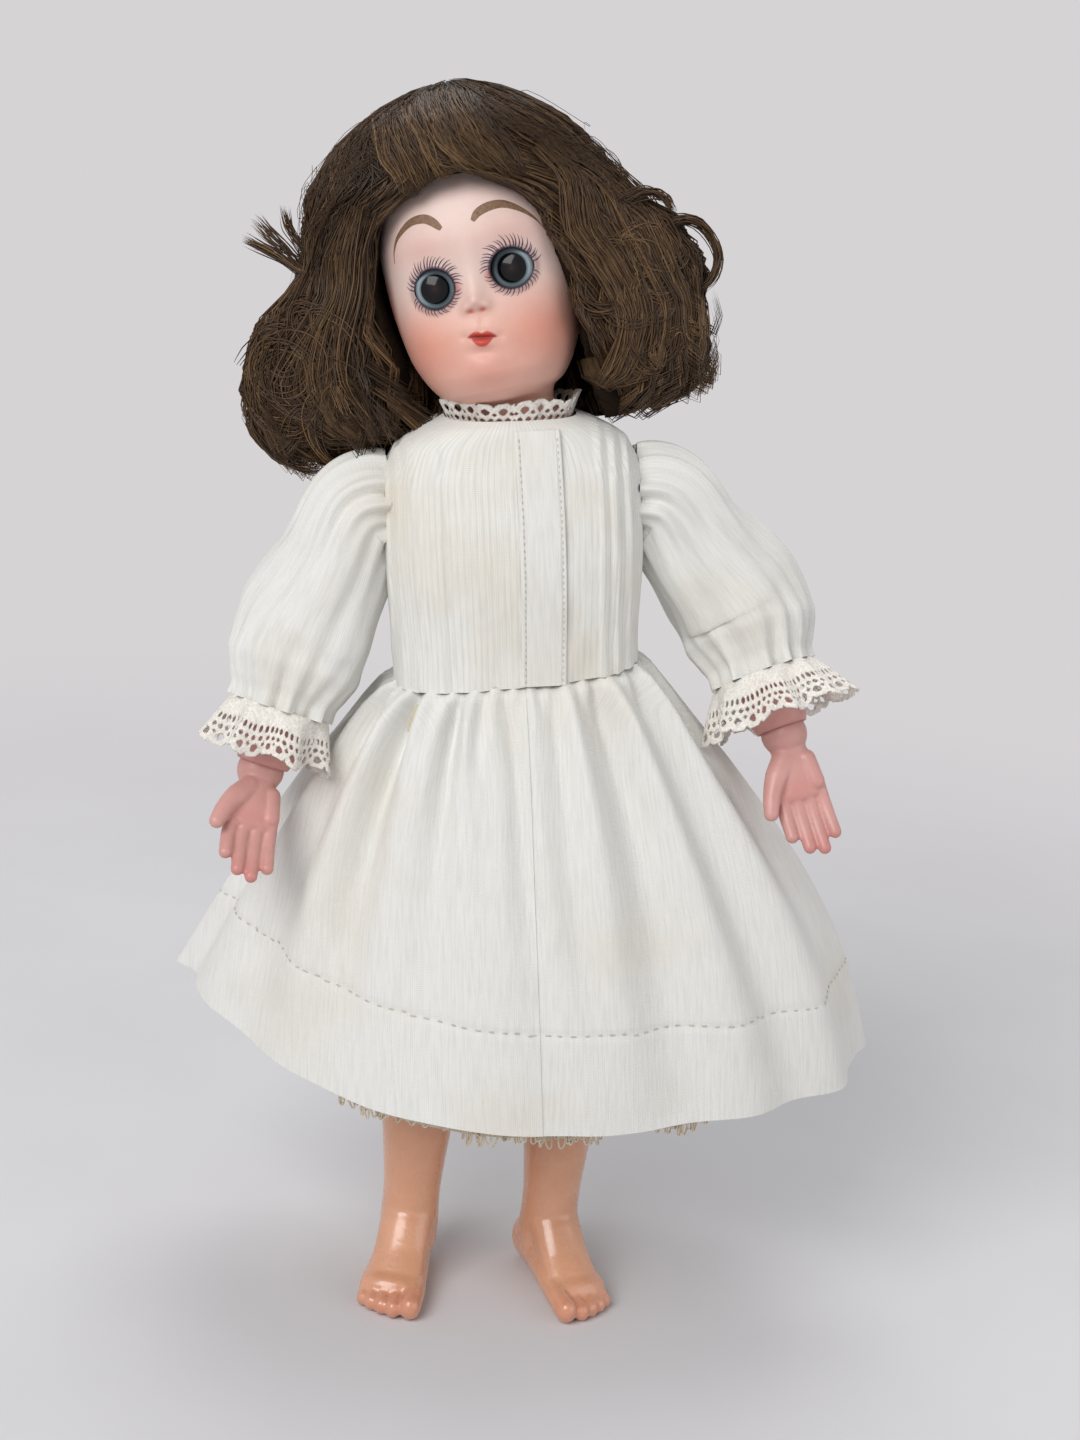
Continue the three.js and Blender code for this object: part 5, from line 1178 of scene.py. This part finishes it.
def round_bar(places, wide, thick, steps=16, around=28):
    """A closed bar with round ends: ellipses square to a smooth path, from their half-widths and half-depths."""
    path, share = curve_through(places, steps), np.linspace(0, 1, steps)
    given = np.linspace(0, 1, len(places))
    a, b = np.interp(share, given, wide), np.interp(share, given, thick)
    along = unit(np.gradient(path, axis=0))
    cap = np.linspace(0, math.pi / 2, 7)[1:]
    tip = [path[-1] + along[-1] * min(a[-1], b[-1]) * np.sin(c) for c in cap]
    root = [path[0] - along[0] * min(a[0], b[0]) * np.sin(c) for c in cap[::-1]]
    path = np.concatenate([root, path, tip])
    along = np.concatenate([np.repeat(along[:1], 6, 0), along, np.repeat(along[-1:], 6, 0)])
    a = np.concatenate([a[0] * np.cos(cap[::-1]), a, a[-1] * np.cos(cap)])
    b = np.concatenate([b[0] * np.cos(cap[::-1]), b, b[-1] * np.cos(cap)])
    across = unit(np.array([1.0, 0, 0]) - along * along[:, :1])
    wide, thick = (a[:, None] * across)[:, None], (b[:, None] * np.cross(along, across))[:, None]
    turned = np.linspace(0, 2 * math.pi, around, endpoint=False)[None, :, None]
    points = path[:, None] + np.cos(turned) * wide + np.sin(turned) * thick
    return points.reshape(-1, 3), grid_faces(len(path), around, around=True)


def ball(radius, around):
    """A sphere about the origin: a bar whose two middle places all but meet."""
    return round_bar([(0, 0, 0.01), (0, 0, -0.01)], (radius, radius), (radius, radius), 3, around)


def lathed(outline, around=72):
    """A turned solid: an outline of (radius, height) places, closed on itself, swept round Z."""
    outline = np.concatenate(outline)
    a = np.linspace(0, 2 * math.pi, around, endpoint=False)[None, :]
    points = np.stack([outline[:, :1] * np.cos(a), outline[:, :1] * np.sin(a), outline[:, 1:] + 0 * a], -1)
    return points.reshape(-1, 3), grid_faces(len(outline), around, around=True, ends=True)


def vertex_places(mesh):
    """A mesh's places in metres."""
    flat = np.empty(len(mesh.vertices) * 3, np.float32)
    mesh.vertices.foreach_get("co", flat)
    return flat.reshape(-1, 3)


def fused(name, parts, matrix, voxel, rounds, finish, rosy):
    """One skin over closed parts that overlap, remeshed by voxels and smoothed, with its rosier places."""
    first = np.cumsum([0] + [len(points) for points, _ in parts])
    made = mesh_object(name, carry(matrix, np.concatenate([points for points, _ in parts])),
                       np.concatenate([faces + at for (_, faces), at in zip(parts, first)]), finish)
    skin = made.modifiers.new("skin", "REMESH")
    skin.mode, skin.voxel_size, skin.use_smooth_shade = "VOXEL", voxel / 1000, True
    soften = made.modifiers.new("soften", "SMOOTH")
    soften.factor, soften.iterations = 0.5, rounds
    whole = bpy.data.meshes.new_from_object(made.evaluated_get(bpy.context.evaluated_depsgraph_get()))
    made.modifiers.clear()
    made.data = whole
    local = (vertex_places(whole) * 1000 - matrix[:3, 3]) @ matrix[:3, :3]
    layer = whole.attributes.new("rosy", "FLOAT", "POINT")
    layer.data.foreach_set("value", rosy(local).astype(np.float32))
    return made


def cup(centre, radius, rim, way, count=14):
    """Outline of a ball's socket: an arc from the stringing hole, 3.2 mm in radius, to the rim."""
    turned = np.linspace(math.asin(3.2 / radius), math.radians(rim), count)
    arc = np.stack([radius * np.sin(turned), centre + way * radius * np.cos(turned)], -1)
    return arc if way < 0 else arc[::-1]


def turned_about(matrix, name, degrees):
    """A frame turned about one of its own axes."""
    out = matrix.copy()
    out[:3, :3] = matrix[:3, :3] @ turn(name, degrees)
    return out


FOREARM = 36
FOREARM_PROFILE = [  # radius and height below the elbow
    (6.95, -5.35), (7.55, -8), (8.2, -15), (8.05, -24), (7.75, -30.5), (7.25, -33.4), (6.85, -34.35)]
for side, (bend, palm) in PALM.items():
    elbow, wrist = spot(f"elbow_bend_{side}"), spot(f"wrist_bend_{side}")
    fore_frame = arm_frames(side)[1]
    profile = curve_through(FOREARM_PROFILE, 26)
    points, faces = lathed([cup(0, 7.6, 44.5, -1), profile, cup(-FOREARM, 6.6, 74, 1)])
    forearm = mesh_object(f"painted_forearm_{side}", carry(fore_frame, points), faces, hand_paint,
                          attributes={"rosy": 0.35 * blob(points[:, 2], 0 * points[:, 2], (-34, 0), (4, 1))})
    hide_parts(f"forearm_{side}")
    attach(forearm, f"forearm_{side}")

    hand_frame = frame_at(wrist, -axis(f"wrist_bend_{side}"), unit(elbow - wrist))
    hand_frame = turned_about(turned_about(hand_frame, "x", -bend), "z", palm)
    parts = [ball(WRIST_BALL, 40),
             round_bar([(0, 0, -2), (0, 0, -7), (0, -0.3, -12), (0, -0.4, -16.5)],
                       (4.6, 5.1, 6.6, 7.0), (4.3, 3.9, 3.3, 2.6)),
             round_bar([(3.6, -1.3, -8), (4.4, -1.4, -14.5)], (2.6, 2.5), (2.9, 2.6)),
             round_bar([(-2.0, -1.2, -6.5), (-5.8, -2.2, -11.5), (-8.3, -2.8, -16), (-9.8, -3.3, -20.4)],
                       (3.3, 3.2, 2.5, 1.95), (3.0, 2.9, 2.4, 1.8))]
    for i, length in enumerate(FINGER_LENGTHS):
        x, end = -(1.5 - i) * 3.6, 1.85 - length * HAND_LENGTH
        middle = (end - 14) / 2
        parts.append(round_bar([(x * 0.92, -0.3, -14), (x, 0.1, middle), (x * 1.06, -1.7, end)],
                               (2.05, 1.95, 1.7), (2.15, 2.0, 1.65), 18))
        nail = [(x * 1.055, -0.35, end + 2.2), (x * 1.06, -0.65, end + 0.2)]
        parts.append(round_bar(nail, (1.0, 1.0), (0.9, 0.8), 4, 20))

    def blushed(local):
        """Rosier finger ends and finger roots."""
        return 0.7 * soft_step(-local[:, 2], 25, 34) + 0.35 * blob(local[:, 2], local[:, 0], (-16, 0), (3, 9))

    hand = fused(f"moulded_hand_{side}", parts, hand_frame, 0.4, 3, hand_paint, blushed)
    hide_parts(f"hand_{side}")
    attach(hand, f"hand_{side}")

# Legs: turned thighs with a ball at the hip and at the knee, and lower legs with
# moulded feet, each one casting of composition, all in a glossy peach paint.
HIP_BALL, KNEE_BALL, THIGH = 13.5, 8.4, 60
FOOT_TURN = {"left": (1, 20), "right": (-1, 14)}  # side, and how far the toes turn out
TOES = [  # radius, place from the great toe, set back
    (4.1, 0, 0), (3.1, 4.6, 0.2), (3.0, 8, 1.2), (2.8, 11.1, 2.6), (2.6, 13.8, 4.4)]
THIGH_PROFILE = [(11.2, -8.9), (12.3, -12.5), (12.4, -22), (11.6, -34), (10.4, -43), (8.6, -51), (6.8, -53.6)]
leg_paint = composition("glossy_peach_paint", (211, 153, 120), (223, 167, 135), (210, 132, 104), 0.25,
                        Coat_Weight=0.45, Coat_Roughness=0.12)
for side, (sign, out_turn) in FOOT_TURN.items():
    hip, knee = spot(f"hip_swing_{side}"), spot(f"knee_bend_{side}")
    leg_frame = np.eye(4)
    leg_frame[:3, 3] = knee[0], knee[1], 0
    top = knee[2]
    profile = curve_through([(6.5, top - 6.35), (8.6, top - 8.6), (10.1, top - 15), (10.5, top - 25),
                             (10.0, top - 35), (8.9, top - 46), (8.15, top - 55), (8.1, 20.5), (8.3, 15),
                             (8.0, 8)], 46)
    shaft = lathed([cup(top, 8.8, 46, -1), profile, [(0.02, 8), (0.02, top - 36), (3.2, top - 36)]])
    turned_out = turn("z", sign * out_turn)
    foot = [round_bar([(0, 5.6, 8.1), (0, -2, 7.9), (0, -10, 6.4), (0, -19.8, 4.5)],
                      (7.3, 7.5, 8.4, 9.3), (8.0, 7.9, 6.4, 4.5), 22, 40),
            round_bar([(0, -0.6, 19.5), (0, -4.6, 15.6), (0, -10.5, 10.8), (0, -17, 7.2)],
                      (7.7, 7.5, 7.4, 7.6), (6.9, 6.3, 5.2, 3.6), 22, 40)]
    for i, (radius, across, back) in enumerate(TOES):
        x = sign * (-6.6 + across)
        y = -30 + radius * 1.05 + back
        r = radius * 0.8
        toe = [(x * 0.9, -17 + 0.3 * i, radius * 1.3), (x, (y - 17) / 2, radius * 1.12),
               (x, y - 0.4 * radius, radius * 0.88)]
        foot.append(round_bar(toe, (r * 0.86, r * 0.86, r * 0.9), (r * 0.95, r * 1.02, r * 1.06), 14))
    parts = [shaft] + [(points @ turned_out.T, faces) for points, faces in foot]

    def toe_blush(local):
        """Rosier toes and heels."""
        flat = local[:, :2] @ turned_out[:2, :2]
        return 0.5 * soft_step(-flat[:, 1], 19, 30) + 0.35 * soft_step(flat[:, 1], 8, 14) * (local[:, 2] < 14)

    points, faces = lathed([cup(0, 13.9, 52, -1), curve_through(THIGH_PROFILE, 30), cup(-THIGH, 8.8, 46, 1)])
    thigh = mesh_object(f"painted_thigh_{side}", points + hip, faces, leg_paint)
    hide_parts(f"thigh_{side}")
    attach(thigh, f"thigh_{side}")
    for word, place, radius in (("hip", hip, HIP_BALL), ("knee", knee, KNEE_BALL)):
        points, faces = ball(radius, 48)
        turned_ball = mesh_object(f"turned_{word}_ball_{side}", points + place, faces, leg_paint)
        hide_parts(f"{word}_ball_{side}")
        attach(turned_ball, f"{word}_{side}")

    leg = fused(f"moulded_lower_leg_{side}", parts, leg_frame, 0.55, 5, leg_paint, toe_blush)
    places = vertex_places(leg.data)
    places[:, 2] = np.maximum(places[:, 2], 0)
    leg.data.vertices.foreach_set("co", places.ravel())
    leg.data.update()
    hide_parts(f"lower_leg_{side}")
    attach(leg, f"shin_{side}")


# Skirt and petticoat: straight widths of cotton, gathered to the waist in soft
# pleats. The skirt's deep hem is caught in running stitches, and the petticoat's
# edge is frayed. Each is two halves here.
SKIRT_HEM, PETTICOAT_HEM = 67.5, 60.0
HEM_DEPTH = 27.0
HEM_STITCH_PITCH = 3.4
CREASES = [  # angle at waist and hem, depth at waist, half-way and hem, half-width in radians
    (-1.25, -1.02, 4.4, 3.4, 1.6, 0.11), (-0.86, -0.66, 5.6, 2.6, 0.8, 0.07),
    (-0.52, -0.30, 4.6, 1.2, 0.3, 0.06), (-0.13, 0.05, 2.6, 0.9, 0.6, 0.045),
    (0.18, 0.16, 3.0, 0.6, 0.2, 0.05), (0.50, 0.46, 4.6, 4.8, 1.8, 0.09), (0.86, 0.84, 4.2, 2.4, 2.8, 0.09),
    (1.28, 1.30, 3.8, 2.2, 2.4, 0.12), (-1.62, -1.5, 3.4, 2.4, 2.4, 0.13)]


def waist_point(angle, drop, grow):
    """The gathered waist seam: the dress outline just under the bodice, in the doll's frame."""
    x, y = rounded(TORSO_ROWS, np.full_like(angle, WAIST - drop), angle, DRESS_POWER, grow)
    return carry(TORSO_FRAME, np.stack([x, y, WAIST - drop + x * WAIST_SLOPE], -1))


def hem_point(angle, share, height, rise):
    """The hem's outline: nearly flat behind, fuller to the doll's left and lifted at both sides."""
    s, c = np.sin(angle), np.cos(angle)
    x, y = 8 + 93 * s, -6 - 43 * c + (16 - 12 * s) * s * s
    return np.stack([x * share - 8.639, y * share + 3.759, height + rise * s * s * (1 - 0.35 * s)], -1)


def outward_of(angle):
    """Level direction away from the body at an angle round the skirt."""
    return unit(np.stack([np.sin(angle), -1.4 * np.cos(angle), 0 * angle], -1))


def skirt_skin(angle, fall, top, hem, depth):
    """Skirt surface: waist to hem on a line, bellied out, with creases and small gathers moved outward."""
    start, end = waist_point(angle, *top), hem_point(angle, *hem)
    s, c = np.sin(angle), np.cos(angle)
    belly = 4.2 * (1 - 0.5 * s * s) * np.sin(math.pi * fall**0.8)
    belly = (belly + 8.5 * np.clip(s, 0, 1) ** 2 * np.sin(math.pi * fall**1.4)) * hem[0]
    fold = 0.9 * np.sin(38 * angle + 3 * np.sin(3 * angle)) * np.exp(-(fall / 0.17) ** 1.2)
    back = soft_step(-c, -0.25, 0.25)
    waves = np.cos(15 * angle + 0.8 * np.sin(2 * angle)) + 1 - 0.6 * fall
    fold = fold + back * (1.2 + 2.4 * fall**0.6) * np.minimum(1, 4 * fall) * waves
    for a0, a1, d0, d1, d2, w in CREASES:
        at = a0 + (a1 - a0) * fall**0.8
        deep = d0 * (1 - fall) ** 2 + 2 * d1 * fall * (1 - fall) * 1.4 + d2 * fall**2
        deep = deep * soft_step(fall, -0.04, 0.10)
        off = (angle - at) / (w * (1 + 0.55 * fall))
        crests = 0.55 * np.exp(-((off - 1.7) / 0.9) ** 2) + 0.4 * np.exp(-((off + 1.8) / 1.1) ** 2)
        fold = fold - deep * (np.exp(-off**2) - crests)
    soft = 1.1 * np.sin(4.3 * angle + 2.4 * fall + 1) * fall
    soft = soft + 0.7 * np.sin(9 * angle - 5 * fall) * np.sin(math.pi * fall)
    points = start + (end - start) * fall[..., None]
    return points + outward_of(angle) * (belly + depth * (fold + soft * (1 - back)))[..., None]


def run_of(points, way):
    """Length over a grid of places, down its columns or along its rows, from the first to each."""
    first = points[:1] if way == 0 else points[:, :1]
    return np.linalg.norm(np.diff(points, axis=way, prepend=first), axis=-1).cumsum(way)


def half_width(name, points, down, sign, cloth):
    """Half a skirt or petticoat: its grid of places, with a UV map of lengths round and down the cloth."""
    return mesh_object(name, points.reshape(-1, 3), grid_faces(*down.shape)[:, ::sign], cloth,
                       uv=np.stack([sign * run_of(points, 1), -down], -1))


fringe_thread = Finish("fringe_thread", roughness=0.85, Sheen_Weight=0.15)
fringe_thread.colour(fringe_thread.patches(260, 4, (216, 198, 172), (240, 228, 208)))
fringe_thread.bump(fringe_thread.noise(3600, 2), 0.0001)
unbleached = weave_finish("unbleached_cotton", (214, 202, 180), (198, 184, 160), (186, 166, 134), thread=0.6)
rng = np.random.default_rng(23)
for side, sign in (("left", 1), ("right", -1)):
    columns, rows = 330, 150
    turn_by = np.linspace(0.0, math.pi, columns)[None, :]
    lap = 0.05 if sign > 0 else 0.0
    angle = sign * (-lap + (math.pi + 2 * lap) / math.pi * turn_by) + np.zeros((rows, 1))
    fall = np.linspace(0, 1, rows)[:, None] ** 1.15 + 0 * turn_by
    points = skirt_skin(angle, fall, (-0.9, DRESS_EASE - 0.9), (1.0, SKIRT_HEM, 9.0), 1.0)
    edge = 1 - soft_step(np.minimum(turn_by, math.pi - turn_by), 0.03, 0.09)
    under = (0.3 * edge if sign > 0 else 0.0) - 2.0 * soft_step(fall, 0.0, 0.025)
    run = run_of(points, 0)
    left_over = run[-1:] - run
    fine = 0.35 * np.exp(-((left_over - HEM_DEPTH) / 0.9) ** 2)
    outward = outward_of(angle)
    points = points - outward * (fine + under)[..., None]
    skirt = half_width(f"gathered_skirt_{side}", points, run, sign, plain_cotton)
    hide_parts(f"skirt_{side}")
    hip = spot(f"hip_swing_{side}")
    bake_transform(skirt)
    row = np.argmin(np.abs(left_over - HEM_DEPTH), axis=0)
    line = (points + outward * 0.22)[row, np.arange(columns)]
    begin = np.arange(2, lengths_along(line)[-1] - 4, HEM_STITCH_PITCH)
    begin = begin + rng.uniform(-0.4, 0.4, len(begin))
    at = begin[:, None] + np.linspace(0, 1, 5)[None, :] * rng.uniform(1.3, 1.9, (len(begin), 1))
    stitches = thread_mesh(f"hem_stitches_{side}", places_along(line, at), 0.2, sewing_thread)
    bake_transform(stitches)

    columns, rows = 200, 60
    turn_by = np.linspace(0.0, math.pi, columns)[None, :]
    angle = sign * (0.004 + (math.pi - 0.008) / math.pi * turn_by) + np.zeros((rows, 1))
    fall = np.linspace(0, 1, rows)[:, None] + 0 * turn_by
    points = skirt_skin(angle, fall, (2.8, DRESS_EASE - 0.4), (0.76, PETTICOAT_HEM, 4.0), 0.45)
    petticoat = half_width(f"petticoat_hem_{side}", points, run_of(points, 0), sign, unbleached)
    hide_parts(f"petticoat_{side}")
    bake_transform(petticoat)
    edge_line = points[-2]
    count = 230
    root = np.sort(rng.uniform(0.6, lengths_along(edge_line)[-1] - 0.6, count))[:, None]
    long = rng.uniform(2.6, 6.4, (count, 1)) * (0.75 + 0.25 * np.sin(root / 6))
    wide = rng.uniform(0.35, 1.1, (count, 1)) * rng.choice([-1, 1], (count, 1))
    t = np.linspace(0, 1, 13)[None, :]
    at = root + wide * np.sin(math.pi * (t - 0.5)) + rng.uniform(-0.8, 0.8, (count, 1)) * np.sin(math.pi * t)
    loops = places_along(edge_line, at)
    loops[..., 2] += 0.8 - long * np.sin(math.pi * t) ** 0.7
    loops[..., :2] += rng.uniform(-0.7, 0.7, (count, 1, 2)) * np.sin(math.pi * t)[..., None]
    fringe = thread_mesh(f"petticoat_fringe_{side}", loops, 0.27, fringe_thread)
    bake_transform(fringe)


# Body, arm balls, hooks, elastics, buttons and the other pieces that keep their
# solids: each gets the finish of its slot.
def speckled(name, dark, light, roughness, scale=160, bump=0.00003, **sockets):
    """A finish of two close tones in soft patches, with a fine bump."""
    made = Finish(name, roughness=roughness, **sockets)
    made.colour(made.patches(scale, 4, dark, light, 0.32, 0.68))
    return made.bump(made.noise(scale * 7, 3), bump)


finishes = {
    "limbs": speckled("composition_paint", (214, 158, 128), (224, 172, 142), 0.32,
                      Coat_Weight=0.35, Coat_Roughness=0.2),
    "hands": speckled("hand_paint", (208, 148, 140), (220, 163, 152), 0.42,
                      Coat_Weight=0.15, Coat_Roughness=0.3),
    "bisque": bisque,
    "hair": speckled("dark_hair", (40, 27, 17), (66, 47, 31), 0.55, 300),
    "cotton": speckled("plain_cotton", (216, 214, 206), (228, 226, 219), 0.9, 300),
    "lace": speckled("plain_lace", (224, 221, 213), (236, 233, 226), 0.9, 500),
    "petticoat": speckled("plain_petticoat", (196, 182, 158), (214, 201, 178), 0.9, 300),
    "glass": eye_glass,
    "steel": speckled("bright_wire", (128, 128, 126), (158, 157, 154), 0.35, 400, Metallic=1.0),
    "lead": speckled("cast_lead", (88, 90, 95), (112, 114, 118), 0.6, 300, Metallic=1.0),
    "elastic": speckled("braided_elastic", (196, 188, 170), (214, 207, 190), 0.85, 900, 0.00008),
    "wood": speckled("turned_plug", (150, 112, 74), (178, 140, 96), 0.6, 120),
    "card": speckled("pressed_card", (140, 112, 82), (166, 140, 106), 0.85, 500),
    "button": speckled("china_button", (226, 224, 216), (238, 236, 230), 0.15, 90, Coat_Weight=0.6),
}
SLOT_OF = {  # the first slot whose words a node's name holds
    "elastic": ["elastic"], "steel": ["hook", "eye_wire"], "hair": ["wig"], "card": ["pate"],
    "wood": ["neck_plug", "eye_stop"], "lead": ["eye_weight"], "glass": ["eyeball"], "bisque": ["head"],
    "petticoat": ["petticoat"], "lace": ["lace"], "button": ["button"],
    "cotton": ["bodice", "placket", "skirt", "sleeve"], "hands": ["forearm", "hand"],
    "limbs": ["torso", "shoulder", "upper_arm", "elbow", "hip", "thigh", "knee", "lower_leg"]}
for name, node in frame["nodes"].items():
    slot = next(key for key, words in SLOT_OF.items() if any(word in name for word in words))
    for material_slot in node.material_slots:
        material_slot.material = finishes[slot].material
